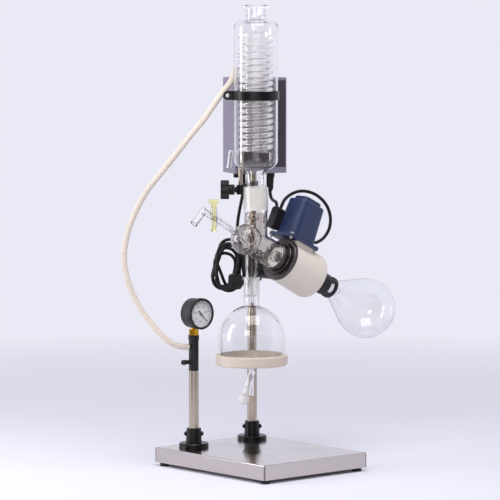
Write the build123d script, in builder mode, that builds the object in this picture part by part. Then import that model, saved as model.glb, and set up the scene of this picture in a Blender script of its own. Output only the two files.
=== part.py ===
# Bench rotary evaporator: stand, drive head, glassware, vacuum gauge and control box.
# Millimetres, +Z up, origin on the bench under the centre of the base tray.
import os
from math import asin, atan2, cos, degrees, pi, radians, sin, sqrt, tan

from build123d import *

os.makedirs("parts", exist_ok=True)

# Clearances shared by all fits
running_gap = 0.05
seat_gap = 0.05
free_gap = 0.3
edge_break = 1.0

# Base tray and feet
tray_width = 285.0
tray_depth = 350.0
tray_height = 32.0
tray_sheet = 1.5
tray_bend = 2.5
tray_lip = 26.0
foot_height = 8.0
foot_radius = 10.0
foot_taper = 4.0
foot_inset = 14.0
tray_top = foot_height + tray_height

# Columns and their floor flanges
mast_inset_x, mast_inset_y = 52.5, 46.0
post_inset_x, post_inset_y = 64.5, 50.0
mast_x = tray_width / 2 - mast_inset_x
mast_y = tray_depth / 2 - mast_inset_y
post_x = post_inset_x - tray_width / 2
post_y = tray_depth / 2 - post_inset_y
column_radius = 10.5
column_wall = 1.5
mast_top = 648.0
post_top = 203.0
flange_radius = 31.5
flange_thick = 9.0
flange_edge = 2.0
sleeve_base_radius = 16.8
sleeve_top_radius = 15.5
sleeve_height = 40.0
flange_bolt_reach = 24.0
flange_bolt_radius = 2.5
flange_bolt_grip = 7.0
bolt_head_radius = 4.5
bolt_head_height = 3.5
set_screw_radius = 2.5
set_screw_boss_radius = 5.0
set_screw_reach = 21.0
set_screw_height = 28.0
set_screw_proud = 2.0
set_screw_angles = (-41.0, 139.0)

# Gauge post manifold and gauge
manifold_collar_radius = 11.5
manifold_collar_height = 11.0
manifold_top = 278.5
manifold_spigot = 15.0
manifold_passage = 3.0
nozzle_radius = 4.5
nozzle_bead_radius = 5.6
nozzle_bead_length = 7.0
nozzle_bore = 2.5
vacuum_nozzle_z = 254.5
vacuum_nozzle_reach = 16.0
spare_nozzle_z = 222.0
spare_nozzle_reach = 31.5
gauge_z = 325.5
gauge_overhang = 28.0
gauge_depth = 35.0
gauge_bezel_depth = 7.0
gauge_front_y = post_y - gauge_overhang
gauge_case_front_y = gauge_front_y + gauge_bezel_depth
gauge_back_y = gauge_front_y + gauge_depth
gauge_case_radius = 31.5
gauge_case_wall = 1.5
bezel_radius = 33.2
bezel_lip_radius = 28.5
bezel_lip = 1.2
bezel_overlap = 3.0
lens_thick = 1.6
dial_thick = 0.8
dial_hole_radius = 2.0
gauge_disc_inset = 0.5
gauge_disc_radius = gauge_case_radius - gauge_disc_inset
gauge_stem_radius = 5.0
gauge_stem_depth = 10.0
gauge_hex_flats = 19.0
gauge_hex_height = 12.5
movement_width = 16.0
movement_height = 36.0
movement_set_back = 3.0
movement_front_y = gauge_case_front_y + movement_set_back
pointer_length = 23.0
pointer_tail = 9.0
pointer_tail_half = 1.9
pointer_tip_half = 0.3
pointer_thick = 0.6
pointer_hub_radius = 2.6
pointer_gap = 1.4
arbor_radius = 1.0
arbor_depth = 6.0
pointer_rest_angle = -45.0

# Control box on the mast head, turned towards the user
box_turn = 21.2
box_width = 118.0
box_depth = 78.0
box_height = 204.0
box_wall = 1.5
box_corner = 3.0
box_shift = 6.0
box_bottom = 617.0
panel_side_frame = 3.0
panel_top_frame = 6.0
panel_bottom_frame = 12.5
panel_gap = 0.2
panel_flange = 1.5
panel_flange_thick = 1.2
mast_socket_radius = 15.0
board_width = 86.0
board_height = 140.0
board_thick = 1.6
standoff_length = 14.0
standoff_radius = 3.5
standoff_inset = 6.0
display_width = 50.0
display_height = 24.0
display_thick = 1.5
display_corner = 2.0
display_x, display_z = 12.0, 132.0
knob_x, knob_z = 26.0, 84.0
knob_radius = 12.0
knob_taper = 1.2
knob_height = 15.0
knob_shaft_radius = 3.0
knob_rib_count = 18
knob_rib_radius = 0.8
knob_mark_width = 1.4
knob_mark_depth = 1.0
rocker_x, rocker_z = 26.0, 36.0
rocker_width = 12.0
rocker_length = 20.0
rocker_frame_wall = 2.5
rocker_frame_height = 2.0
rocker_pin_radius = 1.5
rocker_pin_reach = 1.5
rocker_tilt = 9.0
rocker_rise = 3.5
rocker_dip = 1.2
rocker_end_gap = 1.2
fitting_shoulder = 1.0
fitting_thread = 6.0
gland_x, gland_y = -18.0, 17.0
gland_radius = 6.5
gland_tip_radius = 4.6
gland_length = 20.0
gland_neck = 6.0
fuse_x, fuse_y = -50.0, -22.0
fuse_radius = 6.0
fuse_length = 9.0
fuse_body = 27.0
connector_x, connector_y = 31.5, -10.0
connector_radius = 8.5
connector_tip_radius = 5.0
connector_boot_radius = 7.0
connector_boot_tip = 6.0
connector_nut_radius = 10.0
connector_nut_length = 10.0
connector_length = 40.0

# Condenser support rod, its clamp on the mast, lock knob and strap
view_turn = 41.2
rod_radius = 4.5
rod_bottom = 574.5
rod_top = 803.0
rod_side = 32.5
rod_back = 52.0
rod_clamp_z = 584.5
rod_clamp_height = 20.0
rod_clamp_collar = 16.0
rod_boss_radius = 8.5
rod_clamp_arm = 13.0
lock_screw_radius = 4.0
lock_boss_radius = 6.5
lock_boss_end = 12.4
lock_hub_radius = 11.0
lock_hub_start = 12.8
lock_hub_length = 11.6
lock_disc_length = 18.0
lock_disc_radius = 16.8
lock_lobes = 8
lock_lobe_radius = 4.4
lock_lobe_circle = 15.8
strap_bottom = 777.0
strap_height = 19.0
strap_thick = 2.5
strap_ear_reach = 69.0
strap_ear_thick = 3.0
strap_ear_gap = 4.0
strap_lug_width = 10.0
strap_screw_radius = 2.0
strap_screw_at = 59.5
strap_head_radius = 4.4
strap_head_height = 2.6
strap_cross_length = 4.0
strap_cross_width = 1.0
strap_nut_flats = 7.0
strap_nut_height = 3.0

# Glass plane, joints and walls
glass_y = 30.0
glass_wall = 2.5
joint_slope = 0.045
condenser_x = 14.0
receiver_x = 2.0
ball_x, ball_z = -13.0, 484.0

# Condenser
jacket_radius = 46.5
jacket_rise = 61.0
jacket_joint_bottom = ball_z + jacket_rise
jacket_joint_length = 49.0
jacket_joint_radius = 22.3
jacket_neck_radius = 22.5
jacket_neck_length = 27.0
jacket_shoulder_rise = 31.0
jacket_body_length = 275.0
jacket_crown_rise = 19.0
jacket_mouth_radius = 23.0
jacket_mouth_length = 22.0
jacket_joint_top = jacket_joint_bottom + jacket_joint_length
jacket_neck_top = jacket_joint_top + jacket_neck_length
jacket_shoulder_z = jacket_neck_top + jacket_shoulder_rise
jacket_crown_z = jacket_shoulder_z + jacket_body_length
jacket_top_z = jacket_crown_z + jacket_crown_rise
jacket_mouth_z = jacket_top_z + jacket_mouth_length
stopper_height = 8.0
stopper_plug = 16.0
stopper_overhang = 2.0
coil_radius = 31.5
coil_tube_radius = 5.0
coil_leg_radius = 4.8
coil_foot_gap = 16.0
coil_head_gap = 12.0
coil_turns = 18.75
coil_bottom = jacket_shoulder_z + coil_foot_gap
coil_top = jacket_crown_z - coil_head_gap
coil_pitch = (coil_top - coil_bottom) / coil_turns
coil_wall_gap = 0.4
water_nozzle_drop = 34.0
vacuum_port_below = 76.0
vacuum_port_z = jacket_top_z - vacuum_port_below
vacuum_port_drop = 24.0
vacuum_port_turn = 38.0
side_nozzle_radius = 5.0
side_nozzle_bore = 3.0
side_nozzle_reach = 53.0
side_nozzle_splay = 4.0

# Vapour head
ball_radius = 33.0
neck_radius = 29.0
riser_radius = 24.5
socket_radius = 26.0
socket_skirt = 4.0
drip_radius = 13.0
drip_joint_top = 404.0
drip_joint_bottom = 366.0
drip_joint_radius = 14.4
drip_shoulder = 3.0
drip_bore = 10.0
drip_tip_radius = 5.5
drip_tip_z = 350.0
feed_tube_radius = 7.0
feed_tube_bore = 3.0
feed_cock_reach = 90.0
feed_cock_rise = 51.0
feed_cock_x = ball_x - feed_cock_reach
feed_cock_z = ball_z + feed_cock_rise
feed_barrel_radius = 8.0
feed_barrel_height = 42.0
feed_key_radius = 5.0
feed_outlet_radius = 8.0
feed_outlet_knee = (-132.0, 549.0)
feed_outlet_tip = (-157.0, 524.0)
feed_key_below = 4.0
feed_key_cap_radius = 7.0
feed_key_cap_height = 4.0
feed_handle_radius = 6.2
feed_handle_height = 8.0
feed_wing_length = 21.0
feed_wing_thick = 4.0
feed_wing_height = 9.0

# Receiver, dish and drain cock
receiver_radius = 70.5
receiver_dome_z = 274.0
receiver_neck_radius = 16.8
receiver_bead_radius = 18.2
receiver_bead_height = 5.0
receiver_heel = 8.0
dish_bottom = 218.0
dish_height = 22.0
dish_radius = 76.0
dish_floor = 4.0
dish_gap = 0.5
dish_edge = 2.0
drain_hole_radius = 8.0
drain_radius = 5.0
drain_bore = 3.0
drain_tip_z = 152.0
drain_cock_z = 200.0
drain_cock_tilt = 22.0
drain_barrel_radius = 6.8
drain_barrel_start = -4.0
drain_barrel_end = 34.0
drain_key_radius = 4.0
drain_handle_radius = 11.5
drain_handle_at = 58.0
drain_stem_radius = 6.0

# Drive axis through the ball, and stations along it
drive_tilt = 26.0
neck_end = 97.0
neck_ring_radius = 32.5
neck_ring_length = 12.0
end_step_radius = 38.0
end_step = 103.0
end_flange_radius = 46.5
drum_start = 112.0
end_spigot = 4.0
spanner_hole_radius = 1.8
seal_radius = 26.0
drum_start_radius = 47.0
drum_end_radius = 50.0
drum_round = 6.0
drum_end = 205.0
drum_bore = 42.0
drum_back_wall = 18.0
drum_opening = 24.0
motor_pad_height = 46.5
motor_pad_width = 58.0
motor_pad_end = 172.0
head_pad_reach = 50.0
head_pad_at = 158.0
head_pad_length = 62.0
head_pad_width = 46.0
head_pad_corner = 8.0
bearing_bore = 18.0
bearing_radius = 27.5
bearing_width = 10.0
spindle_wall = 3.4
spindle_end = 232.0
spindle_collar_radius = 22.0
spindle_collar_length = 8.0
vapour_tube_radius = 13.0
vapour_tube_wall = 2.0
vapour_tube_start = 90.0
vapour_bead_radius = 17.0
vapour_bead_length = 4.0
flask_joint_length = 34.0
flask_joint_radius = 14.4
vapour_shoulder = 3.0
vapour_tip_radius = 9.0
vapour_tip_length = 18.0
flask_neck_radius = 18.0
flask_bead_radius = 19.6
flask_bead_length = 5.0
flask_neck_end = 274.0
flask_centre = 384.0
flask_radius = 65.5
clip_radius = 23.5
clip_start = 226.0
clip_end = 268.0
clip_lip = 6.0
clip_windows = 4
clip_window_angle = 56.0
clip_window_turn = 15.0

# Crown gear and pinion between the motor and the spindle
gear_module = 1.0
pinion_teeth = 14
gear_ratio = 4
gear_tooth_width = 1.0
pinion_tooth_foot = 2.2
pinion_tooth_angle = 80.0
gear_face = 5.0
gear_clearance = 0.3
crown_back = 6.5

# Motor standing on the drum
motor_at = 126.0
motor_flange_length = 88.0
motor_flange_width = 76.0
motor_flange_thick = 6.0
motor_flange_corner = 8.0
motor_base_length = 74.0
motor_base_width = 64.0
motor_top_length = 68.0
motor_top_width = 58.0
motor_corner = 16.0
motor_edge = 4.0
motor_body_height = 84.0
motor_wall = 3.0
motor_cap_length = 52.0
motor_cap_width = 43.0
motor_cap_height = 9.0
motor_cap_corner = 12.0
motor_screw_x, motor_screw_y = 38.0, 31.0
motor_screw_radius = 2.2
motor_screw_head = 4.6
motor_screw_head_height = 3.0
motor_screw_slot = 1.2
motor_nut_radius = 4.0
motor_screw_length = 12.0
motor_shaft_radius = 4.0
motor_rotor_radius = 15.8
motor_air_gap = 0.5
motor_stator_radius = 23.2
motor_core_low = 72.0
motor_core_high = 103.0
motor_boss_radius = 8.0
motor_boss_height = 10.0
motor_entry_radius = 6.0
motor_entry_length = 8.0
motor_entry_height = 13.5
terminal_side = 25.0
terminal_length = 20.0
terminal_width = 22.0
terminal_height = 47.0
terminal_low = 57.0
terminal_gap = 2.0
terminal_corner = 6.0
terminal_edge = 2.0

# Clamp that carries the drive head on the mast
head_clamp_radius = 21.0
head_clamp_height = 60.0
head_arm_width = 36.0
head_arm_height = 50.0
head_arm_corner = 6.0
head_arm_root = 17.0
head_screw_spacing = 32.0

# Cords
mains_radius = 3.5
lead_radius = 3.5
hose_radius = 6.5
hank_width = 50.0
hank_height = 112.0
hank_thick = 37.0
hank_edge = 9.0
hank_corner = 16.0
hank_beside = 25.7
hank_behind = 46.9
hank_z = 421.0
plug_width = 30.0
plug_height = 32.0
plug_depth = 26.0
plug_corner = 8.0
plug_drop = 38.0
plug_side = 14.0
pin_radius = 2.0
pin_length = 15.0
pin_spread = 8.0

# Frames worked out from the sizes above
ball = Vector(ball_x, glass_y, ball_z)
drive_dir = Vector(cos(radians(drive_tilt)), 0, -sin(radians(drive_tilt)))
drive_up = Vector(sin(radians(drive_tilt)), 0, cos(radians(drive_tilt)))
drive_axis = Axis(ball, drive_dir)
drive_section = Plane(origin=ball, x_dir=drive_dir, z_dir=(0, -1, 0))
side_dir = Vector(-cos(radians(view_turn)), sin(radians(view_turn)), 0)
back_dir = Vector(sin(radians(view_turn)), cos(radians(view_turn)), 0)
vacuum_dir = side_dir * cos(radians(vacuum_port_turn)) + back_dir * sin(radians(vacuum_port_turn))
condenser_axis = Axis((condenser_x, glass_y, 0), (0, 0, 1))
receiver_axis = Axis((receiver_x, glass_y, 0), (0, 0, 1))
rod_xy = Vector(condenser_x, glass_y, 0) + side_dir * rod_side + back_dir * rod_back
box_right = Vector(cos(radians(box_turn)), -sin(radians(box_turn)), 0)
box_in = Vector(sin(radians(box_turn)), cos(radians(box_turn)), 0)
box_centre = Vector(mast_x, mast_y, 0) + box_right * box_shift


def upright(x, y):
    """Section plane through a vertical axis: sketch x is the radius, sketch y the height."""
    return Plane(origin=(x, y, 0), x_dir=(1, 0, 0), z_dir=(0, -1, 0))


def drive_plane(station):
    """Plane across the drive axis, its x pointing up away from the flask."""
    return Plane(origin=ball + drive_dir * station, x_dir=drive_up, z_dir=drive_dir)


def motor_plane(height):
    """Plane across the motor shaft at a height above the drive axis, its x along the drum."""
    return Plane(origin=ball + drive_dir * motor_at + drive_up * height, x_dir=drive_dir, z_dir=drive_up)


def box_plane(height):
    """Level plane in the control box, its x to the right and its y into the box."""
    return Plane(origin=box_centre + Vector(0, 0, height), x_dir=box_right, z_dir=(0, 0, 1))


def panel_plane(x, z, inset=0.0):
    """Plane on the control panel's face, looking out of it."""
    face = box_centre - box_in * (box_depth / 2 - inset)
    spot = face + box_right * x + Vector(0, 0, box_bottom + z)
    return Plane(origin=spot, x_dir=box_right, z_dir=-box_in)


def strap_plane(height):
    """Level plane round the condenser, its x towards the strap's ears."""
    return Plane(origin=(condenser_x, glass_y, height), x_dir=side_dir, z_dir=(0, 0, 1))


def turn(section, axis, outline, mode=Mode.ADD):
    """Revolves a closed outline of straight lines about an axis."""
    with BuildSketch(section) as profile:
        with BuildLine():
            Polyline(*outline, close=True)
        make_face()
    revolve(profile.sketch, axis=axis, mode=mode)


def rod_between(start, end, radius, mode=Mode.ADD):
    """A round bar from one point to another."""
    run = Vector(*end) - Vector(*start)
    with BuildSketch(Plane(origin=start, z_dir=run)) as profile:
        Circle(radius)
    extrude(profile.sketch, amount=run.length, mode=mode)


def ball_at(centre, radius, mode=Mode.ADD):
    """A ball about a point."""
    with Locations(centre):
        Sphere(radius, mode=mode)


def cord_radii(points):
    """Bend radius at each inner point of a cord's route: as large as its two runs allow."""
    radii = []
    for before, here, after in zip(points, points[1:], points[2:]):
        run_in = Vector(*here) - Vector(*before)
        run_out = Vector(*after) - Vector(*here)
        half_turn = radians(run_in.get_angle(run_out)) / 2
        radii.append(0.45 * min(run_in.length, run_out.length) / tan(half_turn))
    return radii


def lay_cord(name, points, radius):
    """Sweeps a round cord along straight runs joined by tangent arcs."""
    radii = cord_radii(points)
    with BuildLine():
        route = FilletPolyline(*points, radius=radii)
    with BuildSketch(Plane(origin=route @ 0, z_dir=route % 0)) as section:
        Circle(radius)
    sweep(section.sketch, path=route)
    print(name, "radii", [round(bend) for bend in radii], "length", round(route.length))
    print(name, "section times length", round(pi * radius**2 * route.length))


# Folded stainless tray with a return lip, and its four feet
with BuildPart() as base_tray:
    with BuildSketch(Plane.XY.offset(foot_height)):
        Rectangle(tray_width, tray_depth)
    extrude(amount=tray_height)
    fillet(base_tray.faces().sort_by(Axis.Z)[-1].edges(), tray_bend)
    with BuildSketch(Plane.XY.offset(foot_height + tray_sheet)):
        Rectangle(tray_width - 2 * tray_sheet, tray_depth - 2 * tray_sheet)
    extrude(amount=tray_height - 2 * tray_sheet, mode=Mode.SUBTRACT)
    with BuildSketch(Plane.XY.offset(foot_height)):
        Rectangle(tray_width - 2 * tray_lip, tray_depth - 2 * tray_lip)
    extrude(amount=tray_sheet, mode=Mode.SUBTRACT)
    with BuildSketch(Plane.XY.offset(tray_top)):
        for column in ((mast_x, mast_y), (post_x, post_y)):
            with Locations(column):
                with PolarLocations(flange_bolt_reach, 3):
                    Circle(flange_bolt_radius + seat_gap)
    extrude(amount=-tray_sheet, mode=Mode.SUBTRACT)
base_tray.part.label = "base_tray"
export_step(base_tray.part, "parts/base_tray.step")

with BuildPart() as feet:
    foot_x = tray_width - 2 * foot_inset
    foot_y = tray_depth - 2 * foot_inset
    with BuildSketch():
        with GridLocations(foot_x, foot_y, 2, 2):
            Circle(foot_radius)
    extrude(amount=foot_height, taper=foot_taper)
feet.part.label = "feet"
export_step(feet.part, "parts/feet.step")

# Floor flanges: a disc with a clamping sleeve, bolted to the tray from below
for name, x, y in (("mast_flange", mast_x, mast_y), ("gauge_flange", post_x, post_y)):
    bore = column_radius + seat_gap
    sleeve_top = tray_top + sleeve_height
    flange_top = tray_top + flange_thick
    with BuildPart() as flange:
        turn(upright(x, y), Axis((x, y, 0), (0, 0, 1)), [
            (bore, tray_top),
            (flange_radius, tray_top),
            (flange_radius, flange_top - flange_edge),
            (flange_radius - flange_edge, flange_top),
            (sleeve_base_radius, flange_top),
            (sleeve_top_radius, sleeve_top),
            (bore, sleeve_top),
        ])
        for angle in set_screw_angles:
            out = Vector(cos(radians(angle)), sin(radians(angle)), 0)
            middle = Vector(x, y, tray_top + set_screw_height)
            boss_face = middle + out * (set_screw_reach - set_screw_proud)
            rod_between(middle + out * bore, boss_face, set_screw_boss_radius)
            rod_between(middle, boss_face, set_screw_radius + seat_gap, Mode.SUBTRACT)
        turn(upright(x, y), Axis((x, y, 0), (0, 0, 1)), [
            (0, tray_top), (bore, tray_top), (bore, sleeve_top), (0, sleeve_top),
        ], Mode.SUBTRACT)
        with BuildSketch(Plane.XY.offset(tray_top)):
            with Locations((x, y)):
                with PolarLocations(flange_bolt_reach, 3):
                    Circle(flange_bolt_radius + seat_gap)
        extrude(amount=flange_bolt_grip + seat_gap, mode=Mode.SUBTRACT)
    flange.part.label = name
    export_step(flange.part, f"parts/{name}.step")

# Steel columns
for name, x, y, top in (("mast_tube", mast_x, mast_y, mast_top), ("gauge_post", post_x, post_y, post_top)):
    with BuildPart() as column_tube:
        with BuildSketch(Plane.XY.offset(tray_top)):
            with Locations((x, y)):
                Circle(column_radius)
                Circle(column_radius - column_wall, mode=Mode.SUBTRACT)
        extrude(amount=top - tray_top)
    column_tube.part.label = name
    export_step(column_tube.part, f"parts/{name}.step")

# Vacuum manifold on the gauge post, with the hose nozzle and a spare nozzle
with BuildPart() as gauge_manifold:
    post_axis = Axis((post_x, post_y, 0), (0, 0, 1))
    spigot_radius = column_radius - column_wall - seat_gap
    turn(upright(post_x, post_y), post_axis, [
        (0, post_top - manifold_spigot),
        (spigot_radius, post_top - manifold_spigot),
        (spigot_radius, post_top),
        (column_radius, post_top),
        (column_radius, manifold_top - manifold_collar_height),
        (manifold_collar_radius, manifold_top - manifold_collar_height + edge_break),
        (manifold_collar_radius, manifold_top),
        (0, manifold_top),
    ])
    for nozzle_z, reach, bead in (
        (vacuum_nozzle_z, vacuum_nozzle_reach, 0),
        (spare_nozzle_z, spare_nozzle_reach, nozzle_bead_length),
    ):
        tip = Vector(post_x - reach, post_y, nozzle_z)
        rod_between((post_x, post_y, nozzle_z), tip, nozzle_radius)
        if bead:
            rod_between(tip, tip + Vector(bead, 0, 0), nozzle_bead_radius)
            fillet(gauge_manifold.faces().sort_by(Axis.X)[0].edges(), nozzle_bead_radius / 3)
        rod_between((post_x, post_y, nozzle_z), tip, nozzle_bore, Mode.SUBTRACT)
    stem_foot = manifold_top - gauge_stem_depth
    for foot_z, hole in ((spare_nozzle_z, manifold_passage), (stem_foot, gauge_stem_radius + seat_gap)):
        rod_between((post_x, post_y, foot_z), (post_x, post_y, manifold_top), hole, Mode.SUBTRACT)
gauge_manifold.part.label = "gauge_manifold"
export_step(gauge_manifold.part, "parts/gauge_manifold.step")

# Brass gauge movement: threaded stem, hexagon and the block that carries the pointer's arbor
dial_back_y = gauge_case_front_y
dial_front_y = dial_back_y - dial_thick
pointer_back_y = dial_front_y - pointer_gap
movement_low = gauge_z - movement_height / 2
with BuildPart() as gauge_movement:
    stem_start, stem_end = (post_x, post_y, stem_foot), (post_x, post_y, movement_low)
    rod_between(stem_start, stem_end, gauge_stem_radius)
    rod_between(stem_start, stem_end, manifold_passage / 2, Mode.SUBTRACT)
    with BuildSketch(Plane.XY.offset(manifold_top)):
        with Locations((post_x, post_y)):
            RegularPolygon(gauge_hex_flats / 2, 6, major_radius=False)
    extrude(amount=gauge_hex_height)
    movement_back_y = post_y + gauge_stem_radius
    with BuildSketch(Plane.XY.offset(movement_low)):
        with Locations((post_x, (movement_front_y + movement_back_y) / 2)):
            Rectangle(movement_width, movement_back_y - movement_front_y)
    extrude(amount=movement_height)
    arbor_end_y = movement_front_y + arbor_depth
    rod_between(
        (post_x, movement_front_y, gauge_z),
        (post_x, arbor_end_y + free_gap, gauge_z),
        arbor_radius + running_gap,
        Mode.SUBTRACT,
    )
gauge_movement.part.label = "gauge_movement"
export_step(gauge_movement.part, "parts/gauge_movement.step")

# Gauge case, bezel, lens and dial: turned about the dial's axis
gauge_axis = Axis((post_x, 0, gauge_z), (0, 1, 0))
gauge_section = Plane(origin=(post_x, 0, gauge_z), x_dir=(0, 1, 0), z_dir=(1, 0, 0))
with BuildPart() as gauge_case:
    turn(gauge_section, gauge_axis, [
        (gauge_case_front_y, gauge_case_radius - gauge_case_wall),
        (gauge_case_front_y, gauge_case_radius),
        (gauge_back_y - gauge_case_wall, gauge_case_radius),
        (gauge_back_y, gauge_case_radius - gauge_case_wall),
        (gauge_back_y, 0),
        (gauge_back_y - gauge_case_wall, 0),
        (gauge_back_y - gauge_case_wall, gauge_case_radius - gauge_case_wall),
    ])
    rod_between(
        (post_x, post_y, manifold_top),
        (post_x, post_y, gauge_z),
        gauge_stem_radius + seat_gap,
        Mode.SUBTRACT,
    )
    with BuildSketch(Plane.XY.offset(manifold_top)):
        with Locations((post_x, post_y)):
            RegularPolygon(gauge_hex_flats / 2 + seat_gap, 6, major_radius=False)
    extrude(amount=gauge_hex_height + seat_gap, mode=Mode.SUBTRACT)
gauge_case.part.label = "gauge_case"
export_step(gauge_case.part, "parts/gauge_case.step")

with BuildPart() as gauge_bezel:
    lens_front_y = gauge_front_y + bezel_lip
    turn(gauge_section, gauge_axis, [
        (gauge_front_y, bezel_lip_radius),
        (gauge_front_y, bezel_radius - edge_break),
        (gauge_front_y + edge_break, bezel_radius),
        (gauge_case_front_y + bezel_overlap, bezel_radius),
        (gauge_case_front_y + bezel_overlap, gauge_case_radius + seat_gap),
        (gauge_case_front_y, gauge_case_radius + seat_gap),
        (gauge_case_front_y, gauge_disc_radius + seat_gap),
        (lens_front_y, gauge_disc_radius + seat_gap),
        (lens_front_y, bezel_lip_radius),
    ])
gauge_bezel.part.label = "gauge_bezel"
export_step(gauge_bezel.part, "parts/gauge_bezel.step")

with BuildPart() as gauge_lens:
    rod_between(
        (post_x, lens_front_y, gauge_z),
        (post_x, lens_front_y + lens_thick, gauge_z),
        gauge_disc_radius,
    )
gauge_lens.part.label = "gauge_lens"
export_step(gauge_lens.part, "parts/gauge_lens.step")

with BuildPart() as gauge_dial:
    rod_between((post_x, dial_front_y, gauge_z), (post_x, dial_back_y, gauge_z), gauge_disc_radius)
    rod_between(
        (post_x, dial_front_y, gauge_z),
        (post_x, dial_back_y, gauge_z),
        dial_hole_radius,
        Mode.SUBTRACT,
    )
gauge_dial.part.label = "gauge_dial"
export_step(gauge_dial.part, "parts/gauge_dial.step")

with BuildPart() as gauge_pointer:
    pointer_plane = Plane(origin=(post_x, pointer_back_y, gauge_z), x_dir=(1, 0, 0), z_dir=(0, -1, 0))
    with BuildSketch(pointer_plane):
        with BuildLine(Plane.XY.rotated((0, 0, pointer_rest_angle))):
            Polyline(
                (-pointer_tail, -pointer_tail_half),
                (pointer_length, -pointer_tip_half),
                (pointer_length, pointer_tip_half),
                (-pointer_tail, pointer_tail_half),
                close=True,
            )
        make_face()
        Circle(pointer_hub_radius)
    extrude(amount=pointer_thick)
    rod_between((post_x, pointer_back_y, gauge_z), (post_x, arbor_end_y, gauge_z), arbor_radius)
gauge_pointer.part.label = "gauge_pointer"
export_step(gauge_pointer.part, "parts/gauge_pointer.step")

# Control box: folded shell with a front window, panel, display and inner board
panel_width = box_width - 2 * panel_side_frame
panel_height = box_height - panel_top_frame - panel_bottom_frame
panel_mid = panel_bottom_frame + panel_height / 2
with BuildPart() as box_shell:
    with BuildSketch(box_plane(box_bottom)):
        RectangleRounded(box_width, box_depth, box_corner)
    extrude(amount=box_height)
    fillet(box_shell.faces().sort_by(Axis.Z)[-1].edges(), box_wall)
    with BuildSketch(box_plane(box_bottom + box_wall)):
        Rectangle(box_width - 2 * box_wall, box_depth - 2 * box_wall)
    extrude(amount=box_height - 2 * box_wall, mode=Mode.SUBTRACT)
    with BuildSketch(panel_plane(0, panel_mid)):
        Rectangle(panel_width, panel_height)
    extrude(amount=-box_wall, mode=Mode.SUBTRACT)
    with BuildSketch(box_plane(box_bottom)):
        with Locations((-box_shift, 0)):
            Circle(column_radius + seat_gap)
        for spot, hole in (
            ((gland_x, gland_y), gland_radius - fitting_shoulder),
            ((fuse_x, fuse_y), fuse_radius - fitting_shoulder),
            ((connector_x, connector_y), connector_radius - fitting_shoulder),
        ):
            with Locations(spot):
                Circle(hole + seat_gap)
    extrude(amount=box_wall, mode=Mode.SUBTRACT)
box_shell.part.label = "box_shell"
export_step(box_shell.part, "parts/box_shell.step")

with BuildPart() as box_panel:
    with BuildSketch(panel_plane(0, panel_mid, panel_gap)):
        Rectangle(panel_width - 2 * panel_gap, panel_height - 2 * panel_gap)
    extrude(amount=-(box_wall - panel_gap))
    with BuildSketch(panel_plane(0, panel_mid, box_wall)):
        Rectangle(panel_width + 2 * panel_flange - 2 * panel_gap, panel_height + 2 * panel_flange)
    extrude(amount=-panel_flange_thick)
    panel_back = box_wall + panel_flange_thick
    with BuildSketch(panel_plane(rocker_x, rocker_z, panel_gap)):
        Rectangle(rocker_width + 2 * rocker_frame_wall, rocker_length + 2 * rocker_frame_wall)
    extrude(amount=rocker_frame_height)
    with BuildSketch(panel_plane(rocker_x, rocker_z, panel_gap - rocker_frame_height)):
        Rectangle(rocker_width + 2 * free_gap, rocker_length)
    extrude(amount=-(panel_back + rocker_frame_height), mode=Mode.SUBTRACT)
    rocker_pivot = panel_plane(rocker_x, rocker_z, panel_gap)
    pin_half = rocker_width / 2 + rocker_pin_reach
    rod_between(
        rocker_pivot.origin - box_right * (pin_half + free_gap),
        rocker_pivot.origin + box_right * (pin_half + free_gap),
        rocker_pin_radius + running_gap,
        Mode.SUBTRACT,
    )
    with BuildSketch(panel_plane(knob_x, knob_z)):
        Circle(knob_shaft_radius + running_gap)
    extrude(amount=-2 * panel_back, mode=Mode.SUBTRACT)
box_panel.part.label = "box_panel"
export_step(box_panel.part, "parts/box_panel.step")

with BuildPart() as display_window:
    with BuildSketch(panel_plane(display_x, display_z, panel_gap)):
        RectangleRounded(display_width, display_height, display_corner)
    extrude(amount=display_thick)
display_window.part.label = "display_window"
export_step(display_window.part, "parts/display_window.step")

with BuildPart() as control_board:
    board_plane_inset = panel_back + standoff_length
    board_mid = panel_mid
    with BuildSketch(panel_plane(0, board_mid, board_plane_inset)):
        Rectangle(board_width, board_height)
        with Locations((knob_x, knob_z - board_mid)):
            Circle(knob_shaft_radius + running_gap, mode=Mode.SUBTRACT)
    extrude(amount=-board_thick)
    with BuildSketch(panel_plane(0, board_mid, panel_back)):
        with GridLocations(board_width - 2 * standoff_inset, board_height - 2 * standoff_inset, 2, 2):
            Circle(standoff_radius)
    extrude(amount=-standoff_length)
control_board.part.label = "control_board"
export_step(control_board.part, "parts/control_board.step")

with BuildPart() as speed_knob:
    knob_seat = panel_gap - free_gap
    with BuildSketch(panel_plane(knob_x, knob_z, knob_seat)):
        Circle(knob_radius)
    extrude(amount=knob_height, taper=degrees(atan2(knob_taper, knob_height)))
    with BuildSketch(panel_plane(knob_x, knob_z, knob_seat)):
        with PolarLocations(knob_radius, knob_rib_count):
            Circle(knob_rib_radius)
    extrude(amount=knob_height / 2, mode=Mode.SUBTRACT)
    with BuildSketch(panel_plane(knob_x, knob_z, knob_seat - knob_height)):
        with Locations((-knob_radius / 2, -knob_radius / 2)):
            Rectangle(knob_radius, knob_mark_width, rotation=45)
    extrude(amount=-knob_mark_depth, mode=Mode.SUBTRACT)
    with BuildSketch(panel_plane(knob_x, knob_z, knob_seat)):
        Circle(knob_shaft_radius)
    extrude(amount=-(board_plane_inset + board_thick - knob_seat))
speed_knob.part.label = "speed_knob"
export_step(speed_knob.part, "parts/speed_knob.step")

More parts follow.
